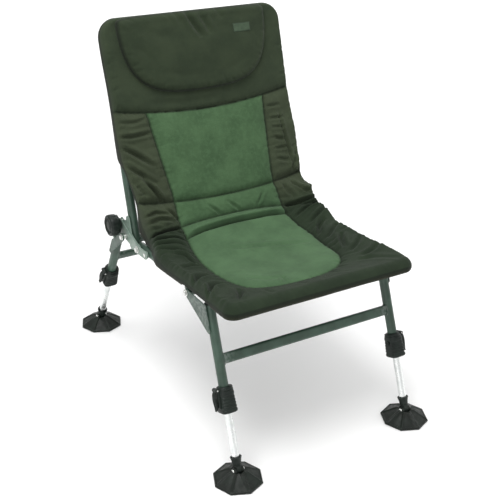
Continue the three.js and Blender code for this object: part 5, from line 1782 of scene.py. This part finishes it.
def on_face(tree, x, s, lift=0.0):
    """The point `lift` mm over the cloth's face at (x, s)."""
    P, n = base_line(np.array([float(s)]))
    P, n = P[0], n[0]
    start = Vector((x, P[0] + 75 * n[0], P[1] + 75 * n[1])) * MM
    hit, normal, _, _ = tree.ray_cast(start, Vector((0, -n[0], -n[1])), 0.11)
    if hit is None:
        return None
    return np.array(hit) / MM + lift * np.array(normal), np.array(normal)


def run_stitches(tree, lines, pitch=6.4, long=4.0, wide=0.62):
    """Top-stitching along lines in (x, s): a short, sunk-in bar of thread each."""
    verts, faces = [], []
    for line in lines:
        line = np.array(line, float)
        d = np.concatenate([[0], np.cumsum(np.hypot(*np.diff(line, axis=0).T))])
        for at in np.arange(1.5, d[-1] - long, pitch):
            ring = []
            for k, (t, r, up) in enumerate(((0.0, 0.25, -0.35), (0.18, 0.85, 0.10), (0.5, 1.0, 0.26), (0.82, 0.85, 0.10), (1.0, 0.25, -0.35))):
                got = on_face(tree, float(np.interp(at + t * long, d, line[:, 0])), float(np.interp(at + t * long, d, line[:, 1])))
                if got is None:
                    break
                ring.append((got[0] + up * got[1], got[1], r * wide))
            if len(ring) < 5 or np.linalg.norm(ring[-1][0] - ring[0][0]) > 1.5 * long:
                continue
            along = ring[-1][0] - ring[0][0]
            along /= np.linalg.norm(along)
            base = len(verts)
            for c, nn, r in ring:
                side = np.cross(along, nn)
                side /= np.linalg.norm(side)
                up_ = np.cross(side, along)
                for j in range(6):
                    w = 2 * math.pi * j / 6
                    verts.append(c + r * (math.cos(w) * side + 0.6 * math.sin(w) * up_))
            for i in range(4):
                for j in range(6):
                    a, b = base + 6 * i + j, base + 6 * i + (j + 1) % 6
                    faces.append((a, b, b + 6, a + 6))
            faces.append(tuple(base + j for j in range(5, -1, -1)))
            faces.append(tuple(base + 24 + j for j in range(6)))
    return verts, faces


def thread_material(name, dark, light):
    n = Nodes(name)
    p = n.coords()
    twist = n.noise(n.stretch(p, (1, 1, 3)), 0.5, 2, 0.6)
    col = n.mix(n.ramp(twist, 0.3, 0.7), dark, light)
    n.set(Base_Color=col, Roughness=n.ramp(n.noise(p, 3, 2), 0.3, 0.7, 0.62, 0.78), Normal=n.bump(twist, 0.3, 0.1))
    n.bsdf.inputs["Specular IOR Level"].default_value = 0.25
    return n.mat


def offset_line(line, by):
    line = np.array(line, float)
    t = np.gradient(line, axis=0)
    t /= np.linalg.norm(t, axis=1)[:, None]
    return line + by * np.stack([-t[:, 1], t[:, 0]], 1)


def make_stitches():
    sm = seams()
    lines = []
    for key in ("s1", "s2", "s3"):
        inner = sm[key][np.abs(sm[key][:, 0]) < 226]
        lines += [offset_line(inner, 3.2), offset_line(inner, -3.2)] if key == "s1" else [offset_line(inner, 3.2)]
    rh = sm["right_half"]
    lines.append(offset_line(rh, 3.4))
    lines.append(np.stack([-offset_line(rh, 3.4)[:, 0], offset_line(rh, 3.4)[:, 1]], 1))
    # round the outline, 9 mm in from the edge
    g, rf, rt = 9.0, RF, RT_
    for side in (-1, 1):
        pts = [(side * (242.5 - rf + (rf - g) * math.sin(a)), rf - (rf - g) * math.cos(a)) for a in np.linspace(0, math.pi / 2, 9)]
        for s_ in np.linspace(rf + 4, S_ALL - rt - 2, 240):
            pts.append((side * (float(half_width(np.array(s_), side > 0)) - g), s_))
        pts += [(side * (242.8 - rt + (rt - g) * math.cos(a)), S_ALL - rt + (rt - g) * math.sin(a)) for a in np.linspace(0, math.pi / 2, 9)]
        lines.append(pts)
    lines.append([(x, g) for x in np.linspace(-242.5 + rf, 242.5 - rf, 90)])
    lines.append([(x, S_ALL - g) for x in np.linspace(-242.8 + rt, 242.8 - rt, 90)])
    verts, faces = run_stitches(COVER["tree"], lines)
    obj = new_object("cover_topstitching", [v * MM for v in np.array(verts)], faces)
    obj.data.shade_smooth()
    obj.data.materials.append(thread_material("cover_thread", rgb(38, 46, 34), rgb(56, 66, 50)))
    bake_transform(obj)
    return obj


def label_material():
    """A woven label left blank: satin ground, darker sewn margin."""
    n, p = fabric_nodes("blank_woven_label")
    edge = n.attr("edge")
    cloud, weave = n.noise(p, 9, 3, 0.6), weave_height(n, p, 0.9)
    col = n.mix(n.ramp(cloud, 0.3, 0.7), rgb(50, 66, 48), rgb(62, 79, 59))
    col = n.mix(n.ramp(weave, -0.5, 0.9, 0.0, 0.4), col, rgb(34, 46, 34))
    rim = n.math("MULTIPLY", n.ramp(edge, 0.9, 1.2), n.ramp(edge, 2.0, 1.7))
    col = n.mix(n.math("MULTIPLY", rim, 0.8), col, rgb(24, 32, 23))
    n.set(Base_Color=col, Roughness=n.ramp(cloud, 0.3, 0.7, 0.55, 0.68), Normal=n.bump(weave, 0.35, 0.15))
    n.bsdf.inputs["Specular IOR Level"].default_value = 0.3
    return n.mat


LABEL = (116.0, 486.0, 47.0, 22.0)      # centre x and u, width, height


def make_label(tree):
    """A small blank label sewn flat on the pillow, upper right."""
    cx, cu, w, h = LABEL
    X, U = np.meshgrid(np.linspace(cx - w / 2, cx + w / 2, 33), np.linspace(cu - h / 2, cu + h / 2, 17))
    S = s_u(U)
    e = np.minimum(np.minimum(X - cx + w / 2, cx + w / 2 - X), np.minimum(U - cu + h / 2, cu + h / 2 - U))
    top, low = np.zeros(X.shape + (3,)), np.zeros(X.shape + (3,))
    for i in range(X.shape[0]):
        for j in range(X.shape[1]):
            p, nn = on_face(tree, float(X[i, j]), float(S[i, j]))
            lift = 0.25 + 1.15 * math.sqrt(min(e[i, j] / 2.2, 1.0)) - 0.35 * math.exp(-((e[i, j] - 3.2) / 0.9) ** 2)
            top[i, j] = p + lift * nn
            low[i, j] = p + 0.2 * nn
    rim = e < 1e-6
    low[rim] = top[rim]
    obj = grid_mesh("headrest_label_blank", top, low, {"edge": (e, e)}, (X, S))
    obj.data.materials.append(label_material())
    inset = 3.2
    loop = [(cx - w / 2 + inset, cu - h / 2 + inset), (cx + w / 2 - inset, cu - h / 2 + inset), (cx + w / 2 - inset, cu + h / 2 - inset),
            (cx - w / 2 + inset, cu + h / 2 - inset), (cx - w / 2 + inset, cu - h / 2 + inset)]
    verts, faces = run_stitches(face_tree(obj), [[(x, float(s_u(u))) for x, u in pair] for pair in zip(loop[:-1], loop[1:])], 2.6, 1.6, 0.34)
    thread = new_object("headrest_label_stitches", [v * MM for v in np.array(verts)], faces)
    thread.data.shade_smooth()
    thread.data.materials.append(thread_material("label_thread", rgb(92, 104, 86), rgb(120, 132, 112)))
    for piece in (obj, thread):
        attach(piece, "back")


def make_cover():
    rows, cols = cover_rows(), cover_columns()
    S = np.repeat(rows[:, None], len(cols), 1)
    X = np.where(cols[None, :] > 0, half_width(rows, True)[:, None], half_width(rows)[:, None]) * cols[None, :]
    top, low, zones = cover_fields(X, S)
    edge_mask = np.zeros(X.shape, bool)
    edge_mask[0], edge_mask[-1], edge_mask[:, 0], edge_mask[:, -1] = True, True, True, True
    mid = np.where(edge_mask, 0.5 * (top + low), 0)
    top = np.where(edge_mask, mid, top)
    low = np.where(edge_mask, mid, low)
    PT, PL = place_on(X, S, top), place_on(X, S, low)
    extra = {k: (v, v) for k, v in zones.items()}
    extra["under"] = (np.where(edge_mask, 0.35, 0.0), np.ones_like(X))
    obj = grid_mesh("quilted_cover", PT, PL, extra, (X, S))
    obj.data.materials.append(cover_material())
    COVER["tree"] = face_tree(obj)
    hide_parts("seat_pad", "back_pad")
    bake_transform(obj)
    return obj


def pillow_outline():
    """(x, u) round the headrest pillow, counter-clockwise from the top right."""
    right = [(190, 537), (192, 522), (191, 482), (184, 444), (172, 411), (152, 384), (122, 364), (86, 354), (44, 350), (0, 349)]
    pts = [np.array(p, float) for p in right]
    left = [np.array([-p[0] * 1.065, p[1]]) for p in right[::-1][1:]]
    loop = pts + left
    top = [np.array([x, 540.0]) for x in (-150, -75, 0, 75, 150)]
    loop = np.array(loop + top)
    # even spacing on a smooth closed curve
    for _ in range(3):
        nxt = np.roll(loop, -1, 0)
        loop = np.stack([0.75 * loop + 0.25 * nxt, 0.25 * loop + 0.75 * nxt], 1).reshape(-1, 2)
    d = np.hypot(*(np.roll(loop, -1, 0) - loop).T)
    s = np.concatenate([[0], np.cumsum(d)])
    closed = np.vstack([loop, loop[:1]])
    q = np.linspace(0, s[-1], 360, endpoint=False)
    return np.stack([np.interp(q, s, closed[:, 0]), np.interp(q, s, closed[:, 1])], 1)


def make_pillow():
    loop = pillow_outline()
    c = np.array([0.0, 455.0])
    n = len(loop)
    rho = np.concatenate([[0.0], np.linspace(0.03, 0.86, 38), 0.86 + 0.14 * np.sin(np.linspace(0, math.pi / 2, 14))[1:]])
    XU = c + rho[:, None, None] * (loop - c)[None]
    X, Uu = XU[..., 0], XU[..., 1]
    S = s_u(Uu)
    q = line_distance(X, S, np.vstack([np.stack([loop[:, 0], s_u(loop[:, 1])], 1), [[loop[0, 0], s_u(loop[0, 1])]]]))[0]
    q[-1] = 0
    # what it rests on
    rest = 18.5 - sag_top(S) * across(X) + 1.5
    r = 17.0
    f = np.sqrt(np.clip(1 - (1 - np.clip(q / r, 0, 1)) ** 2, 0, 1))
    crown = 18.5 + 7.0 * smooth(q / 90)
    front = rest + crown * f
    # the crease at the top and slack folds
    def up(pts):
        return [(x, float(s_u(u))) for x, u in pts]
    for pts, depth, width in ((up([(-26, 546), (-20, 522), (-6, 496), (8, 472)]), 7.0, 6), (up([(10, 545), (12, 524), (24, 500), (32, 478)]), 4.4, 6),
                              (up([(-62, 544), (-50, 526), (-44, 508)]), 2.6, 6), (up([(-150, 505), (-100, 486), (-60, 488)]), 1.4, 10),
                              (up([(56, 545), (60, 528), (70, 512)]), 2.2, 6), (up([(60, 500), (110, 478), (150, 470)]), 1.4, 10),
                              (up([(-120, 404), (-60, 388), (0, 386)]), 1.2, 8), (up([(40, 384), (90, 396), (130, 420)]), 1.2, 8),
                              (up([(-176, 470), (-150, 452), (-130, 430)]), 1.4, 8)):
        dent(front, X, S, pts, depth, width)
    front += (1.1 * vnoise(X, S, 80, 31) + 0.6 * vnoise(X, S, 34, 32) + 0.25 * vnoise(X, S, 14, 33)) * smooth(q / 12)
    # gathers round the edge
    g = np.random.default_rng(5)
    ang = 0.0
    while ang < n:
        i = int(ang) % n
        p = loop[i]
        inward = (c - p) / np.linalg.norm(c - p)
        L = 10 + 20 * g.random()
        pts = [(p[0], float(s_u(p[1]))), (p[0] + inward[0] * L, float(s_u(p[1] + inward[1] * L)))]
        dent(front, X, S, pts, 0.5 + 0.9 * g.random(), 3.0 + 2 * g.random(), 0.3)
        ang += 5 + 9 * g.random()
    lowv = rest - 1.0 + 1.0 * (1 - f)
    F_, L_ = place_on(X, S, front), place_on(X, S, lowv)
    L_[-1] = F_[-1]
    rows = len(rho)
    verts = [F_[0, 0]]
    for j in range(1, rows):
        verts.extend(F_[j])
    o2 = len(verts)
    verts.append(L_[0, 0])
    for j in range(1, rows - 1):
        verts.extend(L_[j])
    faces = []

    def vi(j, i):
        return 1 + (j - 1) * n + i % n

    def wi(j, i):
        return vi(j, i) if j == rows - 1 else o2 + 1 + (j - 1) * n + i % n
    for i in range(n):
        faces.append((0, vi(1, i + 1), vi(1, i)))
        faces.append((o2, wi(1, i), wi(1, i + 1)))
        for j in range(1, rows - 1):
            faces.append((vi(j, i), vi(j, i + 1), vi(j + 1, i + 1), vi(j + 1, i)))
            faces.append((wi(j, i), wi(j + 1, i), wi(j + 1, i + 1), wi(j, i + 1)))
    obj = new_object("headrest_pillow_d", verts, faces)
    bm = bmesh.new()
    bm.from_mesh(obj.data)
    bmesh.ops.recalc_face_normals(bm, faces=bm.faces)
    bm.to_mesh(obj.data)
    bm.free()
    obj.data.shade_smooth()
    seam = np.concatenate([[q[0, 0]], q[1:].ravel(), [q[0, 0]], q[1:-1].ravel()])
    at = obj.data.attributes.new("seam", "FLOAT", "POINT")
    at.data.foreach_set("value", seam.astype(np.float32))
    xs = np.concatenate([[X[0, 0]], X[1:].ravel(), [X[0, 0]], X[1:-1].ravel()])
    ss = np.concatenate([[S[0, 0]], S[1:].ravel(), [S[0, 0]], S[1:-1].ravel()])
    at = obj.data.attributes.new("cloth", "FLOAT_VECTOR", "POINT")
    at.data.foreach_set("vector", np.stack([xs, ss, np.zeros_like(xs)], 1).astype(np.float32).ravel())
    obj.data.materials.append(pillow_material())
    tree = face_tree(obj)
    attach(obj, "back")
    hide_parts("headrest_pillow")
    verts, faces = run_stitches(tree, [[(c[0] + 0.955 * (p[0] - c[0]), float(s_u(c[1] + 0.955 * (p[1] - c[1])))) for p in np.vstack([loop, loop[:1]])]], 6.0, 3.8, 0.55)
    thread = new_object("headrest_topstitching", [v * MM for v in np.array(verts)], faces)
    thread.data.shade_smooth()
    thread.data.materials.append(thread_material("pillow_thread", rgb(36, 42, 33), rgb(52, 60, 47)))
    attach(thread, "back")
    return tree


# ------------------------------------------------------------------------- build
bpy.context.scene.view_settings.view_transform = "Standard"
make_camera()
make_light()
make_floor()
make_frames()
make_legs()
make_plates()
make_cover()
make_stitches()
make_label(make_pillow())
